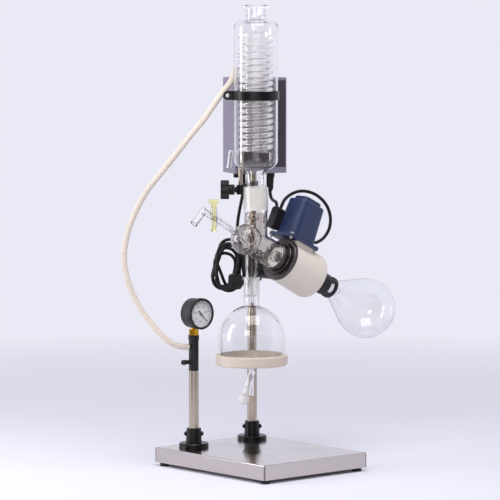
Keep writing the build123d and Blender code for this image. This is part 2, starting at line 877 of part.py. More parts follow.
# Rocker of the mains switch, at rest with its upper end pressed in
with BuildPart() as power_rocker:
    rocker_side = Plane(
        origin=rocker_pivot.origin - box_right * (rocker_width / 2),
        x_dir=Vector(0, 0, sin(radians(rocker_tilt))) - box_in * cos(radians(rocker_tilt)),
        z_dir=box_right,
    )
    rocker_half = rocker_length / 2 - rocker_end_gap
    with BuildSketch(rocker_side):
        with BuildLine():
            Polyline(
                (rocker_rise, -rocker_half),
                (rocker_rise - rocker_dip, 0),
                (rocker_rise, rocker_half),
                (0, rocker_half - rocker_dip / 2),
                (-rocker_rise, rocker_half / 3),
                (-rocker_rise, -rocker_half / 3),
                (0, rocker_dip / 2 - rocker_half),
                close=True,
            )
        make_face()
    extrude(amount=rocker_width)
    rod_between(
        rocker_pivot.origin - box_right * pin_half,
        rocker_pivot.origin + box_right * pin_half,
        rocker_pin_radius,
    )
power_rocker.part.label = "power_rocker"
export_step(power_rocker.part, "parts/power_rocker.step")

with BuildPart() as mast_socket:
    with BuildSketch(Plane.XY.offset(box_bottom + box_wall)):
        with Locations((mast_x, mast_y)):
            Circle(mast_socket_radius)
            Circle(column_radius + seat_gap, mode=Mode.SUBTRACT)
    extrude(amount=mast_top - box_bottom - box_wall)
mast_socket.part.label = "mast_socket"
export_step(mast_socket.part, "parts/mast_socket.step")


def box_axis_section(x, y):
    """Section plane and axis of a turned fitting under the control box."""
    spot = box_plane(0).from_local_coords(Vector(x, y, 0))
    return upright(spot.X, spot.Y), Axis((spot.X, spot.Y, 0), (0, 0, 1))


with BuildPart() as cord_gland:
    section, axis = box_axis_section(gland_x, gland_y)
    turn(section, axis, [
        (0, box_bottom - gland_length),
        (gland_tip_radius, box_bottom - gland_length),
        (gland_radius - edge_break, box_bottom - gland_neck),
        (gland_radius, box_bottom - gland_neck),
        (gland_radius, box_bottom),
        (gland_radius - fitting_shoulder, box_bottom),
        (gland_radius - fitting_shoulder, box_bottom + fitting_thread),
        (0, box_bottom + fitting_thread),
    ])
cord_gland.part.label = "cord_gland"
export_step(cord_gland.part, "parts/cord_gland.step")

with BuildPart() as fuse_holder:
    section, axis = box_axis_section(fuse_x, fuse_y)
    turn(section, axis, [
        (0, box_bottom - fuse_length),
        (fuse_radius - edge_break, box_bottom - fuse_length),
        (fuse_radius, box_bottom - fuse_length + edge_break),
        (fuse_radius, box_bottom),
        (fuse_radius - fitting_shoulder, box_bottom),
        (fuse_radius - fitting_shoulder, box_bottom + fuse_body),
        (0, box_bottom + fuse_body),
    ])
fuse_holder.part.label = "fuse_holder"
export_step(fuse_holder.part, "parts/fuse_holder.step")

with BuildPart() as lead_connector:
    section, axis = box_axis_section(connector_x, connector_y)
    nut_low = box_bottom - connector_nut_length
    connector_low = box_bottom - connector_length
    turn(section, axis, [
        (0, connector_low),
        (connector_tip_radius, connector_low),
        (connector_boot_radius, connector_low + connector_boot_tip),
        (connector_radius, nut_low),
        (connector_nut_radius, nut_low),
        (connector_nut_radius, box_bottom),
        (connector_radius - fitting_shoulder, box_bottom),
        (connector_radius - fitting_shoulder, box_bottom + fitting_thread),
        (0, box_bottom + fitting_thread),
    ])
lead_connector.part.label = "lead_connector"
export_step(lead_connector.part, "parts/lead_connector.step")

# Clamp on the mast that holds the condenser's support rod
rod_clamp_low = rod_clamp_z - rod_clamp_height / 2
rod_at = Vector(rod_xy.X, rod_xy.Y, rod_clamp_z)
with BuildPart() as rod_clamp:
    with BuildSketch(Plane.XY.offset(rod_clamp_low)):
        with Locations((mast_x, mast_y)):
            Circle(rod_clamp_collar)
        with Locations((rod_xy.X, rod_xy.Y)):
            Circle(rod_boss_radius)
        arm = Vector(rod_xy.X - mast_x, rod_xy.Y - mast_y, 0)
        with Locations((mast_x + arm.X / 2, mast_y + arm.Y / 2)):
            Rectangle(arm.length, rod_clamp_arm, rotation=degrees(atan2(arm.Y, arm.X)))
    extrude(amount=rod_clamp_height)
    rod_between(rod_at, rod_at + side_dir * lock_boss_end, lock_boss_radius)
    rod_between(rod_at, rod_at + side_dir * lock_boss_end, lock_screw_radius + running_gap, Mode.SUBTRACT)
    with BuildSketch(Plane.XY.offset(rod_clamp_low)):
        with Locations((mast_x, mast_y)):
            Circle(column_radius + seat_gap)
        with Locations((rod_xy.X, rod_xy.Y)):
            Circle(rod_radius + running_gap)
    extrude(amount=rod_clamp_height, mode=Mode.SUBTRACT)
rod_clamp.part.label = "rod_clamp"
export_step(rod_clamp.part, "parts/rod_clamp.step")

with BuildPart() as lock_knob:
    hub_end = lock_hub_start + lock_hub_length
    rod_between(rod_at + side_dir * (rod_radius + free_gap), rod_at + side_dir * hub_end, lock_screw_radius)
    rod_between(rod_at + side_dir * lock_hub_start, rod_at + side_dir * hub_end, lock_hub_radius)
    with BuildSketch(Plane(origin=rod_at + side_dir * hub_end, x_dir=(0, 0, 1), z_dir=side_dir)):
        Circle(lock_disc_radius)
        with PolarLocations(lock_lobe_circle, lock_lobes):
            Circle(lock_lobe_radius)
    extrude(amount=lock_disc_length)
lock_knob.part.label = "lock_knob"
export_step(lock_knob.part, "parts/lock_knob.step")

with BuildPart() as support_rod:
    rod_between((rod_xy.X, rod_xy.Y, rod_bottom), (rod_xy.X, rod_xy.Y, rod_top), rod_radius)
    chamfer(support_rod.edges().filter_by(GeomType.CIRCLE), edge_break)
support_rod.part.label = "support_rod"
export_step(support_rod.part, "parts/support_rod.step")

# Strap round the condenser: a split band with two ears and a lug on the rod
strap_bore = jacket_radius + free_gap
strap_radius = strap_bore + strap_thick
strap_mid = strap_bottom + strap_height / 2
with BuildPart() as strap_clamp:
    with BuildSketch(strap_plane(strap_bottom)):
        Circle(strap_radius)
        with Locations((rod_side, -rod_back)):
            Circle(rod_boss_radius)
        lug_angle = atan2(-rod_back, rod_side)
        lug_reach = sqrt(rod_side**2 + rod_back**2)
        with Locations((lug_reach / 2 * cos(lug_angle), lug_reach / 2 * sin(lug_angle))):
            Rectangle(lug_reach, strap_lug_width, rotation=degrees(lug_angle))
    extrude(amount=strap_height)
    ear_plane = Plane(
        origin=(condenser_x, glass_y, strap_mid), x_dir=side_dir, z_dir=-back_dir
    ).offset(-strap_ear_gap / 2 - strap_ear_thick)
    ear_middle = strap_ear_reach - strap_height / 2
    with BuildSketch(ear_plane):
        with Locations((ear_middle, 0)):
            Circle(strap_height / 2)
        with Locations(((strap_bore + ear_middle) / 2, 0)):
            Rectangle(ear_middle - strap_bore, strap_height)
    extrude(amount=strap_ear_gap + 2 * strap_ear_thick)
    with BuildSketch(strap_plane(strap_bottom)):
        Circle(strap_bore)
        with Locations((strap_ear_reach, 0)):
            Rectangle(2 * strap_ear_reach - strap_bore, strap_ear_gap)
        with Locations((rod_side, -rod_back)):
            Circle(rod_radius + seat_gap)
    extrude(amount=strap_height, mode=Mode.SUBTRACT)
    screw_spot = Vector(condenser_x, glass_y, strap_mid) + side_dir * strap_screw_at
    screw_half = strap_ear_gap / 2 + strap_ear_thick
    rod_between(
        screw_spot - back_dir * screw_half,
        screw_spot + back_dir * screw_half,
        strap_screw_radius + seat_gap,
        Mode.SUBTRACT,
    )
strap_clamp.part.label = "strap_clamp"
export_step(strap_clamp.part, "parts/strap_clamp.step")

with BuildPart() as strap_screw:
    head_face = screw_spot - back_dir * screw_half
    nut_face = screw_spot + back_dir * screw_half
    rod_between(head_face, nut_face + back_dir * (strap_nut_height + edge_break), strap_screw_radius)
    rod_between(head_face - back_dir * strap_head_height, head_face, strap_head_radius)
    fillet(strap_screw.faces().sort_by(Axis(screw_spot, -back_dir))[-1].edges(), strap_head_height / 2)
    head_top = head_face - back_dir * strap_head_height
    with BuildSketch(Plane(origin=head_top, x_dir=(0, 0, 1), z_dir=back_dir)):
        Rectangle(strap_cross_length, strap_cross_width)
        Rectangle(strap_cross_width, strap_cross_length)
    extrude(amount=strap_head_height / 2, mode=Mode.SUBTRACT)
    with BuildSketch(Plane(origin=nut_face, x_dir=(0, 0, 1), z_dir=back_dir)):
        RegularPolygon(strap_nut_flats / 2, 6, major_radius=False)
    extrude(amount=strap_nut_height)
strap_screw.part.label = "strap_screw"
export_step(strap_screw.part, "parts/strap_screw.step")


def side_nozzle(out, z, drop, radius, mode=Mode.ADD, start=0.0):
    """A glass nozzle that leaves the jacket sideways and turns down."""
    root = Vector(condenser_x, glass_y, z)
    knee = root + out * side_nozzle_reach
    tip = knee + out * side_nozzle_splay - Vector(0, 0, drop)
    rod_between(root + out * start, knee, radius, mode)
    ball_at(knee, radius, mode)
    rod_between(knee, tip, radius, mode)
    return tip


# Condenser jacket: joint cone, neck, cylinder and top mouth, with three side nozzles
inner_radius = jacket_radius - glass_wall
joint_small = jacket_joint_radius - joint_slope * jacket_joint_length
with BuildPart() as condenser_jacket:
    with BuildSketch(upright(condenser_x, glass_y)):
        with BuildLine():
            Polyline(
                (jacket_neck_radius, jacket_neck_top),
                (jacket_neck_radius, jacket_joint_top),
                (jacket_joint_radius, jacket_joint_top),
                (joint_small, jacket_joint_bottom),
                (0, jacket_joint_bottom),
                (0, jacket_mouth_z),
                (jacket_mouth_radius, jacket_mouth_z),
                (jacket_mouth_radius, jacket_top_z),
            )
            Spline(
                (jacket_mouth_radius, jacket_top_z),
                (jacket_radius, jacket_crown_z),
                tangents=((1, 0), (0, -1)),
            )
            Line((jacket_radius, jacket_crown_z), (jacket_radius, jacket_shoulder_z))
            Spline(
                (jacket_radius, jacket_shoulder_z),
                (jacket_neck_radius, jacket_neck_top),
                tangents=((0, -1), (-0.35, -1)),
            )
        make_face()
    revolve(axis=condenser_axis)
    water_in_tip = side_nozzle(side_dir, coil_bottom, water_nozzle_drop, side_nozzle_radius)
    vacuum_tip = side_nozzle(vacuum_dir, vacuum_port_z, vacuum_port_drop, side_nozzle_radius)
    water_out_tip = side_nozzle(back_dir, coil_top, water_nozzle_drop, side_nozzle_radius)
    with BuildSketch(upright(condenser_x, glass_y)):
        with BuildLine():
            Polyline(
                (jacket_neck_radius - glass_wall, jacket_neck_top),
                (joint_small - glass_wall, jacket_joint_bottom),
                (0, jacket_joint_bottom),
                (0, jacket_mouth_z),
                (jacket_mouth_radius - glass_wall, jacket_mouth_z),
                (jacket_mouth_radius - glass_wall, jacket_top_z - glass_wall),
            )
            Spline(
                (jacket_mouth_radius - glass_wall, jacket_top_z - glass_wall),
                (inner_radius, jacket_crown_z - glass_wall),
                tangents=((1, 0), (0, -1)),
            )
            Line((inner_radius, jacket_crown_z - glass_wall), (inner_radius, jacket_shoulder_z))
            Spline(
                (inner_radius, jacket_shoulder_z),
                (jacket_neck_radius - glass_wall, jacket_neck_top),
                tangents=((0, -1), (-0.35, -1)),
            )
        make_face()
    revolve(axis=condenser_axis, mode=Mode.SUBTRACT)
    nozzle_root = inner_radius - edge_break
    side_nozzle(side_dir, coil_bottom, water_nozzle_drop, side_nozzle_bore, Mode.SUBTRACT, nozzle_root)
    side_nozzle(vacuum_dir, vacuum_port_z, vacuum_port_drop, side_nozzle_bore, Mode.SUBTRACT, nozzle_root)
    side_nozzle(back_dir, coil_top, water_nozzle_drop, side_nozzle_bore, Mode.SUBTRACT, nozzle_root)
condenser_jacket.part.label = "condenser_jacket"
export_step(condenser_jacket.part, "parts/condenser_jacket.step")

# Cooling coil: one helix of glass tube whose ends run out to the water nozzles
with BuildPart() as condenser_coil:
    coil_plane = Plane(origin=(condenser_x, glass_y, coil_bottom), x_dir=side_dir, z_dir=(0, 0, 1))
    with BuildLine(coil_plane) as turns:
        Helix(coil_pitch, coil_top - coil_bottom, coil_radius)
    with BuildSketch(Plane(origin=turns.line @ 0, z_dir=turns.line % 0)) as tube_section:
        Circle(coil_tube_radius)
    sweep(tube_section.sketch, path=turns.line, is_frenet=True)
    leg_end = sqrt(inner_radius**2 - coil_tube_radius**2) - coil_wall_gap
    for out, z in ((side_dir, coil_bottom), (back_dir, coil_top)):
        middle = Vector(condenser_x, glass_y, z)
        rod_between(middle + out * coil_radius, middle + out * leg_end, coil_leg_radius)
condenser_coil.part.label = "condenser_coil"
export_step(condenser_coil.part, "parts/condenser_coil.step")

with BuildPart() as condenser_stopper:
    plug_radius = jacket_mouth_radius - glass_wall - seat_gap
    turn(upright(condenser_x, glass_y), condenser_axis, [
        (0, jacket_mouth_z - stopper_plug),
        (plug_radius - edge_break, jacket_mouth_z - stopper_plug),
        (plug_radius, jacket_mouth_z - stopper_plug + edge_break),
        (plug_radius, jacket_mouth_z),
        (jacket_mouth_radius + stopper_overhang, jacket_mouth_z),
        (jacket_mouth_radius + stopper_overhang, jacket_mouth_z + stopper_height - stopper_overhang),
        (jacket_mouth_radius, jacket_mouth_z + stopper_height),
        (0, jacket_mouth_z + stopper_height),
    ])
condenser_stopper.part.label = "condenser_stopper"
export_step(condenser_stopper.part, "parts/condenser_stopper.step")

# Vapour head: ball with the neck into the drum, riser, drip joint and feed cock
feed_barrel_low = feed_cock_z - feed_barrel_height / 2
feed_barrel_high = feed_cock_z + feed_barrel_height / 2
feed_spot = Vector(feed_cock_x, glass_y, feed_cock_z)
feed_knee = Vector(feed_outlet_knee[0], glass_y, feed_outlet_knee[1])
feed_tip = Vector(feed_outlet_tip[0], glass_y, feed_outlet_tip[1])
drip_top = Vector(receiver_x, glass_y, ball_z)
riser_foot = Vector(condenser_x, glass_y, ball_z)
socket_low = jacket_joint_bottom - socket_skirt
with BuildPart() as vapour_head:
    ball_at(ball, ball_radius)
    rod_between(ball, ball + drive_dir * neck_end, neck_radius)
    rod_between(riser_foot, (condenser_x, glass_y, socket_low), riser_radius)
    rod_between(
        (condenser_x, glass_y, socket_low), (condenser_x, glass_y, jacket_joint_top), socket_radius
    )
    rod_between(drip_top, (receiver_x, glass_y, drip_joint_top), drip_radius)
    drip_joint_small = drip_joint_radius - joint_slope * (drip_joint_top - drip_joint_bottom)
    turn(upright(receiver_x, glass_y), receiver_axis, [
        (0, drip_tip_z),
        (drip_tip_radius, drip_tip_z),
        (drip_tip_radius, drip_joint_bottom - drip_shoulder),
        (drip_joint_small, drip_joint_bottom),
        (drip_joint_radius, drip_joint_top),
        (0, drip_joint_top),
    ])
    rod_between(ball, feed_spot, feed_tube_radius)
    rod_between(
        (feed_cock_x, glass_y, feed_barrel_low),
        (feed_cock_x, glass_y, feed_barrel_high),
        feed_barrel_radius,
    )
    rod_between(feed_spot, feed_knee, feed_outlet_radius)
    ball_at(feed_knee, feed_outlet_radius)
    rod_between(feed_knee, feed_tip, feed_outlet_radius)
    ball_at(ball, ball_radius - glass_wall, Mode.SUBTRACT)
    rod_between(ball, ball + drive_dir * neck_end, neck_radius - glass_wall, Mode.SUBTRACT)
    rod_between(
        riser_foot, (condenser_x, glass_y, jacket_joint_bottom), riser_radius - glass_wall, Mode.SUBTRACT
    )
    turn(upright(condenser_x, glass_y), condenser_axis, [
        (0, jacket_joint_bottom),
        (joint_small + seat_gap, jacket_joint_bottom),
        (jacket_joint_radius + seat_gap, jacket_joint_top),
        (0, jacket_joint_top),
    ], Mode.SUBTRACT)
    rod_between(drip_top, (receiver_x, glass_y, drip_joint_bottom), drip_bore, Mode.SUBTRACT)
    rod_between(drip_top, (receiver_x, glass_y, drip_tip_z), drip_tip_radius - glass_wall, Mode.SUBTRACT)
    rod_between(ball, feed_spot, feed_tube_bore, Mode.SUBTRACT)
    rod_between(
        (feed_cock_x, glass_y, feed_barrel_low),
        (feed_cock_x, glass_y, feed_barrel_high),
        feed_key_radius + running_gap,
        Mode.SUBTRACT,
    )
    feed_bore = feed_outlet_radius - glass_wall
    rod_between(feed_spot, feed_knee, feed_bore, Mode.SUBTRACT)
    ball_at(feed_knee, feed_bore, Mode.SUBTRACT)
    rod_between(feed_knee, feed_tip, feed_bore, Mode.SUBTRACT)
vapour_head.part.label = "vapour_head"
export_step(vapour_head.part, "parts/vapour_head.step")

# Key of the feed cock: a plug with a cross bore, a bottom cap and a wing handle
with BuildPart() as feed_key:
    feed_section = upright(feed_cock_x, glass_y)
    feed_axis = Axis((feed_cock_x, glass_y, 0), (0, 0, 1))
    key_low = feed_barrel_low - feed_key_below
    turn(feed_section, feed_axis, [
        (0, key_low - feed_key_cap_height),
        (feed_key_cap_radius - edge_break, key_low - feed_key_cap_height),
        (feed_key_cap_radius, key_low - feed_key_cap_height + edge_break),
        (feed_key_cap_radius, key_low),
        (feed_key_radius, key_low),
        (feed_key_radius, feed_barrel_high + free_gap),
        (feed_handle_radius, feed_barrel_high + free_gap),
        (feed_handle_radius, feed_barrel_high + feed_handle_height),
        (0, feed_barrel_high + feed_handle_height),
    ])
    with BuildSketch(Plane.XY.offset(feed_barrel_high + feed_handle_height)):
        with Locations((feed_cock_x, glass_y)):
            SlotOverall(feed_wing_length, feed_wing_thick, rotation=-view_turn)
    extrude(amount=feed_wing_height)
    rod_between(
        feed_spot - Vector(2 * feed_key_radius, 0, 0),
        feed_spot + Vector(2 * feed_key_radius, 0, 0),
        feed_tube_bore,
        Mode.SUBTRACT,
    )
feed_key.part.label = "feed_key"
export_step(feed_key.part, "parts/feed_key.step")

# Receiver flask: dome, neck with a bead, flat bottom, drain tube and cock barrel
receiver_floor = dish_bottom + dish_floor
drain_dir = Vector(-sin(radians(drain_cock_tilt)), 0, -cos(radians(drain_cock_tilt)))
drain_spot = Vector(receiver_x, glass_y, drain_cock_z)
dome_inner = receiver_radius - glass_wall
neck_bore = receiver_neck_radius - glass_wall
neck_foot = receiver_dome_z + sqrt(receiver_radius**2 - receiver_neck_radius**2)
neck_foot_inner = receiver_dome_z + sqrt(dome_inner**2 - neck_bore**2)
receiver_joint_top = drip_joint_radius + seat_gap
receiver_joint_bottom = drip_joint_small + seat_gap
with BuildPart() as receiver_flask:
    with BuildSketch(upright(receiver_x, glass_y)):
        with BuildLine():
            Polyline(
                (receiver_neck_radius, neck_foot),
                (receiver_neck_radius, drip_joint_top - receiver_bead_height),
                (receiver_bead_radius, drip_joint_top - receiver_bead_height),
                (receiver_bead_radius, drip_joint_top),
                (0, drip_joint_top),
                (0, receiver_floor),
                (receiver_radius - receiver_heel, receiver_floor),
            )
            RadiusArc(
                (receiver_radius - receiver_heel, receiver_floor),
                (receiver_radius, receiver_floor + receiver_heel),
                -receiver_heel,
            )
            Line((receiver_radius, receiver_floor + receiver_heel), (receiver_radius, receiver_dome_z))
            RadiusArc(
                (receiver_radius, receiver_dome_z), (receiver_neck_radius, neck_foot), -receiver_radius
            )
        make_face()
    revolve(axis=receiver_axis)
    drain_root_z = receiver_floor + glass_wall
    rod_between((receiver_x, glass_y, drain_root_z), (receiver_x, glass_y, drain_tip_z), drain_radius)
    rod_between(
        drain_spot + drain_dir * drain_barrel_start,
        drain_spot + drain_dir * drain_barrel_end,
        drain_barrel_radius,
    )
    with BuildSketch(upright(receiver_x, glass_y)):
        with BuildLine():
            Polyline(
                (neck_bore, neck_foot_inner),
                (receiver_joint_bottom, drip_joint_bottom),
                (receiver_joint_top, drip_joint_top),
                (0, drip_joint_top),
                (0, receiver_floor + glass_wall),
                (dome_inner - receiver_heel, receiver_floor + glass_wall),
            )
            RadiusArc(
                (dome_inner - receiver_heel, receiver_floor + glass_wall),
                (dome_inner, receiver_floor + glass_wall + receiver_heel),
                -receiver_heel,
            )
            Line((dome_inner, receiver_floor + glass_wall + receiver_heel), (dome_inner, receiver_dome_z))
            RadiusArc((dome_inner, receiver_dome_z), (neck_bore, neck_foot_inner), -dome_inner)
        make_face()
    revolve(axis=receiver_axis, mode=Mode.SUBTRACT)
    rod_between(
        (receiver_x, glass_y, receiver_floor + glass_wall),
        (receiver_x, glass_y, drain_tip_z),
        drain_bore,
        Mode.SUBTRACT,
    )
    rod_between(
        drain_spot,
        drain_spot + drain_dir * drain_barrel_end,
        drain_key_radius + running_gap,
        Mode.SUBTRACT,
    )
receiver_flask.part.label = "receiver_flask"
export_step(receiver_flask.part, "parts/receiver_flask.step")

with BuildPart() as receiver_dish:
    turn(upright(receiver_x, glass_y), receiver_axis, [
        (drain_hole_radius, dish_bottom),
        (dish_radius - dish_edge, dish_bottom),
        (dish_radius, dish_bottom + dish_edge),
        (dish_radius, dish_bottom + dish_height - dish_edge),
        (dish_radius - dish_edge, dish_bottom + dish_height),
        (receiver_radius + dish_gap, dish_bottom + dish_height),
        (receiver_radius + dish_gap, receiver_floor),
        (drain_hole_radius, receiver_floor),
    ])
receiver_dish.part.label = "receiver_dish"
export_step(receiver_dish.part, "parts/receiver_dish.step")

with BuildPart() as drain_key:
    key_start = drain_spot + drain_dir * (drain_radius + free_gap)
    barrel_mouth = drain_spot + drain_dir * (drain_barrel_end + free_gap)
    handle_centre = drain_spot + drain_dir * drain_handle_at
    rod_between(key_start, handle_centre, drain_key_radius)
    rod_between(barrel_mouth, handle_centre, drain_stem_radius)
    ball_at(handle_centre, drain_handle_radius)
drain_key.part.label = "drain_key"
export_step(drain_key.part, "parts/drain_key.step")

# Clamping ring on the glass neck, end flange, shaft seal and bearings
with BuildPart() as neck_ring:
    turn(drive_section, drive_axis, [
        (neck_end - neck_ring_length, neck_radius + seat_gap),
        (neck_end - neck_ring_length, neck_ring_radius - edge_break),
        (neck_end - neck_ring_length + edge_break, neck_ring_radius),
        (neck_end, neck_ring_radius),
        (neck_end, neck_radius + seat_gap),
    ])
neck_ring.part.label = "neck_ring"
export_step(neck_ring.part, "parts/neck_ring.step")

with BuildPart() as end_flange:
    seat_radius = bearing_radius + seat_gap
    turn(drive_section, drive_axis, [
        (neck_end, seal_radius + seat_gap),
        (neck_end, end_step_radius - edge_break),
        (neck_end + edge_break, end_step_radius),
        (end_step, end_step_radius),
        (end_step, end_flange_radius - edge_break),
        (end_step + edge_break, end_flange_radius),
        (drum_start, end_flange_radius),
        (drum_start, drum_bore - seat_gap),
        (drum_start + end_spigot, drum_bore - seat_gap),
        (drum_start + end_spigot, seat_radius),
        (end_step, seat_radius),
        (end_step, seal_radius + seat_gap),
    ])
    with BuildSketch(drive_plane(neck_end)):
        with PolarLocations((neck_ring_radius + end_step_radius) / 2, 2, start_angle=20):
            Circle(spanner_hole_radius)
    extrude(amount=(end_step - neck_end) / 2, mode=Mode.SUBTRACT)
end_flange.part.label = "end_flange"
export_step(end_flange.part, "parts/end_flange.step")

with BuildPart() as vapour_seal:
    turn(drive_section, drive_axis, [
        (neck_end, vapour_tube_radius + running_gap),
        (neck_end, seal_radius),
        (end_step - free_gap, seal_radius),
        (end_step - free_gap, vapour_tube_radius + running_gap),
    ])
vapour_seal.part.label = "vapour_seal"
export_step(vapour_seal.part, "parts/vapour_seal.step")

rear_bearing_end = drum_end - (drum_back_wall - bearing_width) / 2 - edge_break
with BuildPart() as spindle_bearings:
    for start in (end_step, rear_bearing_end - bearing_width):
        turn(drive_section, drive_axis, [
            (start, bearing_bore + running_gap),
            (start, bearing_radius),
            (start + bearing_width, bearing_radius),
            (start + bearing_width, bearing_bore + running_gap),
        ])
spindle_bearings.part.label = "spindle_bearings"
export_step(spindle_bearings.part, "parts/spindle_bearings.step")

# Drum housing: a flared barrel with a pad for the motor and one for the mast clamp
with BuildPart() as drum_housing:
    turn(drive_section, drive_axis, [
        (drum_start, 0),
        (drum_start, drum_start_radius),
        (drum_end - drum_round, drum_end_radius),
        (drum_end - drum_round / 4, drum_end_radius - drum_round / 4),
        (drum_end, drum_end_radius - drum_round),
        (drum_end, 0),
    ])
    pad_length = motor_pad_end - drum_start
    with BuildSketch(motor_plane(0)):
        with Locations((drum_start + pad_length / 2 - motor_at, 0)):
            RectangleRounded(pad_length, motor_pad_width, motor_flange_corner)
    extrude(amount=motor_pad_height)
    head_pad_plane = Plane(
        origin=ball + drive_dir * head_pad_at, x_dir=drive_dir, z_dir=(0, 1, 0)
    )
    with BuildSketch(head_pad_plane):
        RectangleRounded(head_pad_length, head_pad_width, head_pad_corner)
    extrude(amount=head_pad_reach)
    turn(drive_section, drive_axis, [
        (drum_start, 0),
        (drum_start, drum_bore),
        (drum_end - drum_back_wall, drum_bore),
        (drum_end - drum_back_wall, bearing_radius + seat_gap),
        (rear_bearing_end, bearing_radius + seat_gap),
        (rear_bearing_end, drum_opening),
        (drum_end, drum_opening),
        (drum_end, 0),
    ], Mode.SUBTRACT)
    with BuildSketch(motor_plane(motor_pad_height)):
        RectangleRounded(
            motor_flange_length + 2 * free_gap, motor_flange_width + 2 * free_gap, motor_flange_corner
        )
    extrude(amount=drum_end_radius - motor_pad_height, mode=Mode.SUBTRACT)
    with BuildSketch(motor_plane(0)):
        Circle(gear_module * (pinion_teeth / 2 + 1) + edge_break)
    extrude(amount=motor_pad_height, mode=Mode.SUBTRACT)
    with BuildSketch(motor_plane(motor_pad_height)):
        for side in (-motor_screw_y, motor_screw_y):
            with Locations((motor_screw_x, side)):
                Circle(motor_screw_radius + seat_gap)
    extrude(amount=-motor_screw_length, mode=Mode.SUBTRACT)
drum_housing.part.label = "drum_housing"
export_step(drum_housing.part, "parts/drum_housing.step")

# Clamp between the mast and the drum's rear pad
pad_face_y = glass_y + head_pad_reach
pad_centre = ball + drive_dir * head_pad_at
with BuildPart() as head_clamp:
    clamp_low = pad_centre.Z - head_clamp_height / 2
    pad_plane = Plane(
        origin=(pad_centre.X, pad_face_y, pad_centre.Z), x_dir=drive_dir, z_dir=(0, 1, 0)
    )
    root_plane = Plane(
        origin=(mast_x, mast_y - head_arm_root, pad_centre.Z), x_dir=(1, 0, 0), z_dir=(0, 1, 0)
    )
    with BuildSketch(pad_plane):
        RectangleRounded(head_pad_length, head_pad_width, head_arm_corner)
    with BuildSketch(root_plane):
        RectangleRounded(head_arm_width, head_arm_height, head_arm_corner)
    loft()
    with BuildSketch(root_plane):
        RectangleRounded(head_arm_width, head_arm_height, head_arm_corner)
    extrude(amount=head_arm_root)
    with BuildSketch(Plane.XY.offset(clamp_low)):
        with Locations((mast_x, mast_y)):
            Circle(head_clamp_radius)
    extrude(amount=head_clamp_height)
    with BuildSketch(Plane.XY.offset(clamp_low)):
        with Locations((mast_x, mast_y)):
            Circle(column_radius + seat_gap)
    extrude(amount=head_clamp_height, mode=Mode.SUBTRACT)
    for lift in (-head_screw_spacing / 2, head_screw_spacing / 2):
        middle = Vector(mast_x, mast_y, pad_centre.Z + lift)
        rod_between(
            middle,
            middle + Vector(0, head_clamp_radius, 0),
            set_screw_radius + seat_gap,
            Mode.SUBTRACT,
        )
head_clamp.part.label = "head_clamp"
export_step(head_clamp.part, "parts/head_clamp.step")

# Hexagon-socket screws: flange bolts from under the tray, and the set screws that lock the columns
with BuildPart() as hex_screws:
    for x, y in ((mast_x, mast_y), (post_x, post_y)):
        with BuildSketch(Plane.XY.offset(tray_top - tray_sheet)):
            with Locations((x, y)):
                with PolarLocations(flange_bolt_reach, 3):
                    Circle(bolt_head_radius)
        extrude(amount=-bolt_head_height)
        with BuildSketch(Plane.XY.offset(tray_top - tray_sheet)):
            with Locations((x, y)):
                with PolarLocations(flange_bolt_reach, 3):
                    Circle(flange_bolt_radius)
        extrude(amount=tray_sheet + flange_bolt_grip)
        middle = Vector(x, y, tray_top + set_screw_height)
        for angle in set_screw_angles:
            out = Vector(cos(radians(angle)), sin(radians(angle)), 0)
            rod_between(
                middle + out * (column_radius + seat_gap), middle + out * set_screw_reach, set_screw_radius
            )
    for lift in (-head_screw_spacing / 2, head_screw_spacing / 2):
        middle = Vector(mast_x, mast_y, pad_centre.Z + lift)
        out = Vector(0, 1, 0)
        rod_between(
            middle + out * (column_radius + seat_gap), middle + out * head_clamp_radius, set_screw_radius
        )
hex_screws.part.label = "hex_screws"
export_step(hex_screws.part, "parts/hex_screws.step")

# Spindle: hollow shaft in the two bearings, with a collar at the flask end
spindle_bore = bearing_bore - spindle_wall
with BuildPart() as spindle:
    turn(drive_section, drive_axis, [
        (end_step + free_gap, spindle_bore),
        (end_step + free_gap, bearing_bore),
        (drum_end + free_gap, bearing_bore),
        (drum_end + free_gap, spindle_collar_radius),
        (drum_end + free_gap + spindle_collar_length, spindle_collar_radius),
        (drum_end + free_gap + spindle_collar_length, bearing_bore),
        (spindle_end, bearing_bore),
        (spindle_end, spindle_bore),
    ])
spindle.part.label = "spindle"
export_step(spindle.part, "parts/spindle.step")

# Crown gear on the spindle, its teeth facing the motor's pinion
pinion_pitch = gear_module * pinion_teeth / 2
crown_teeth = pinion_teeth * gear_ratio
crown_pitch = gear_module * crown_teeth / 2
crown_root = motor_at + pinion_pitch + gear_module + gear_clearance
crown_tip = motor_at + pinion_pitch - gear_module
with BuildPart() as crown_gear:
    turn(drive_section, drive_axis, [
        (crown_root, bearing_bore + seat_gap),
        (crown_root, crown_pitch + gear_face / 2 + edge_break),
        (crown_root + crown_back, crown_pitch + gear_face / 2 + edge_break),
        (crown_root + crown_back, bearing_bore + seat_gap),
    ])
    with BuildSketch(drive_plane(crown_root)):
        with PolarLocations(crown_pitch, crown_teeth, start_angle=180 / crown_teeth):
            Rectangle(gear_face, gear_tooth_width)
    extrude(amount=crown_tip - crown_root)
crown_gear.part.label = "crown_gear"
export_step(crown_gear.part, "parts/crown_gear.step")

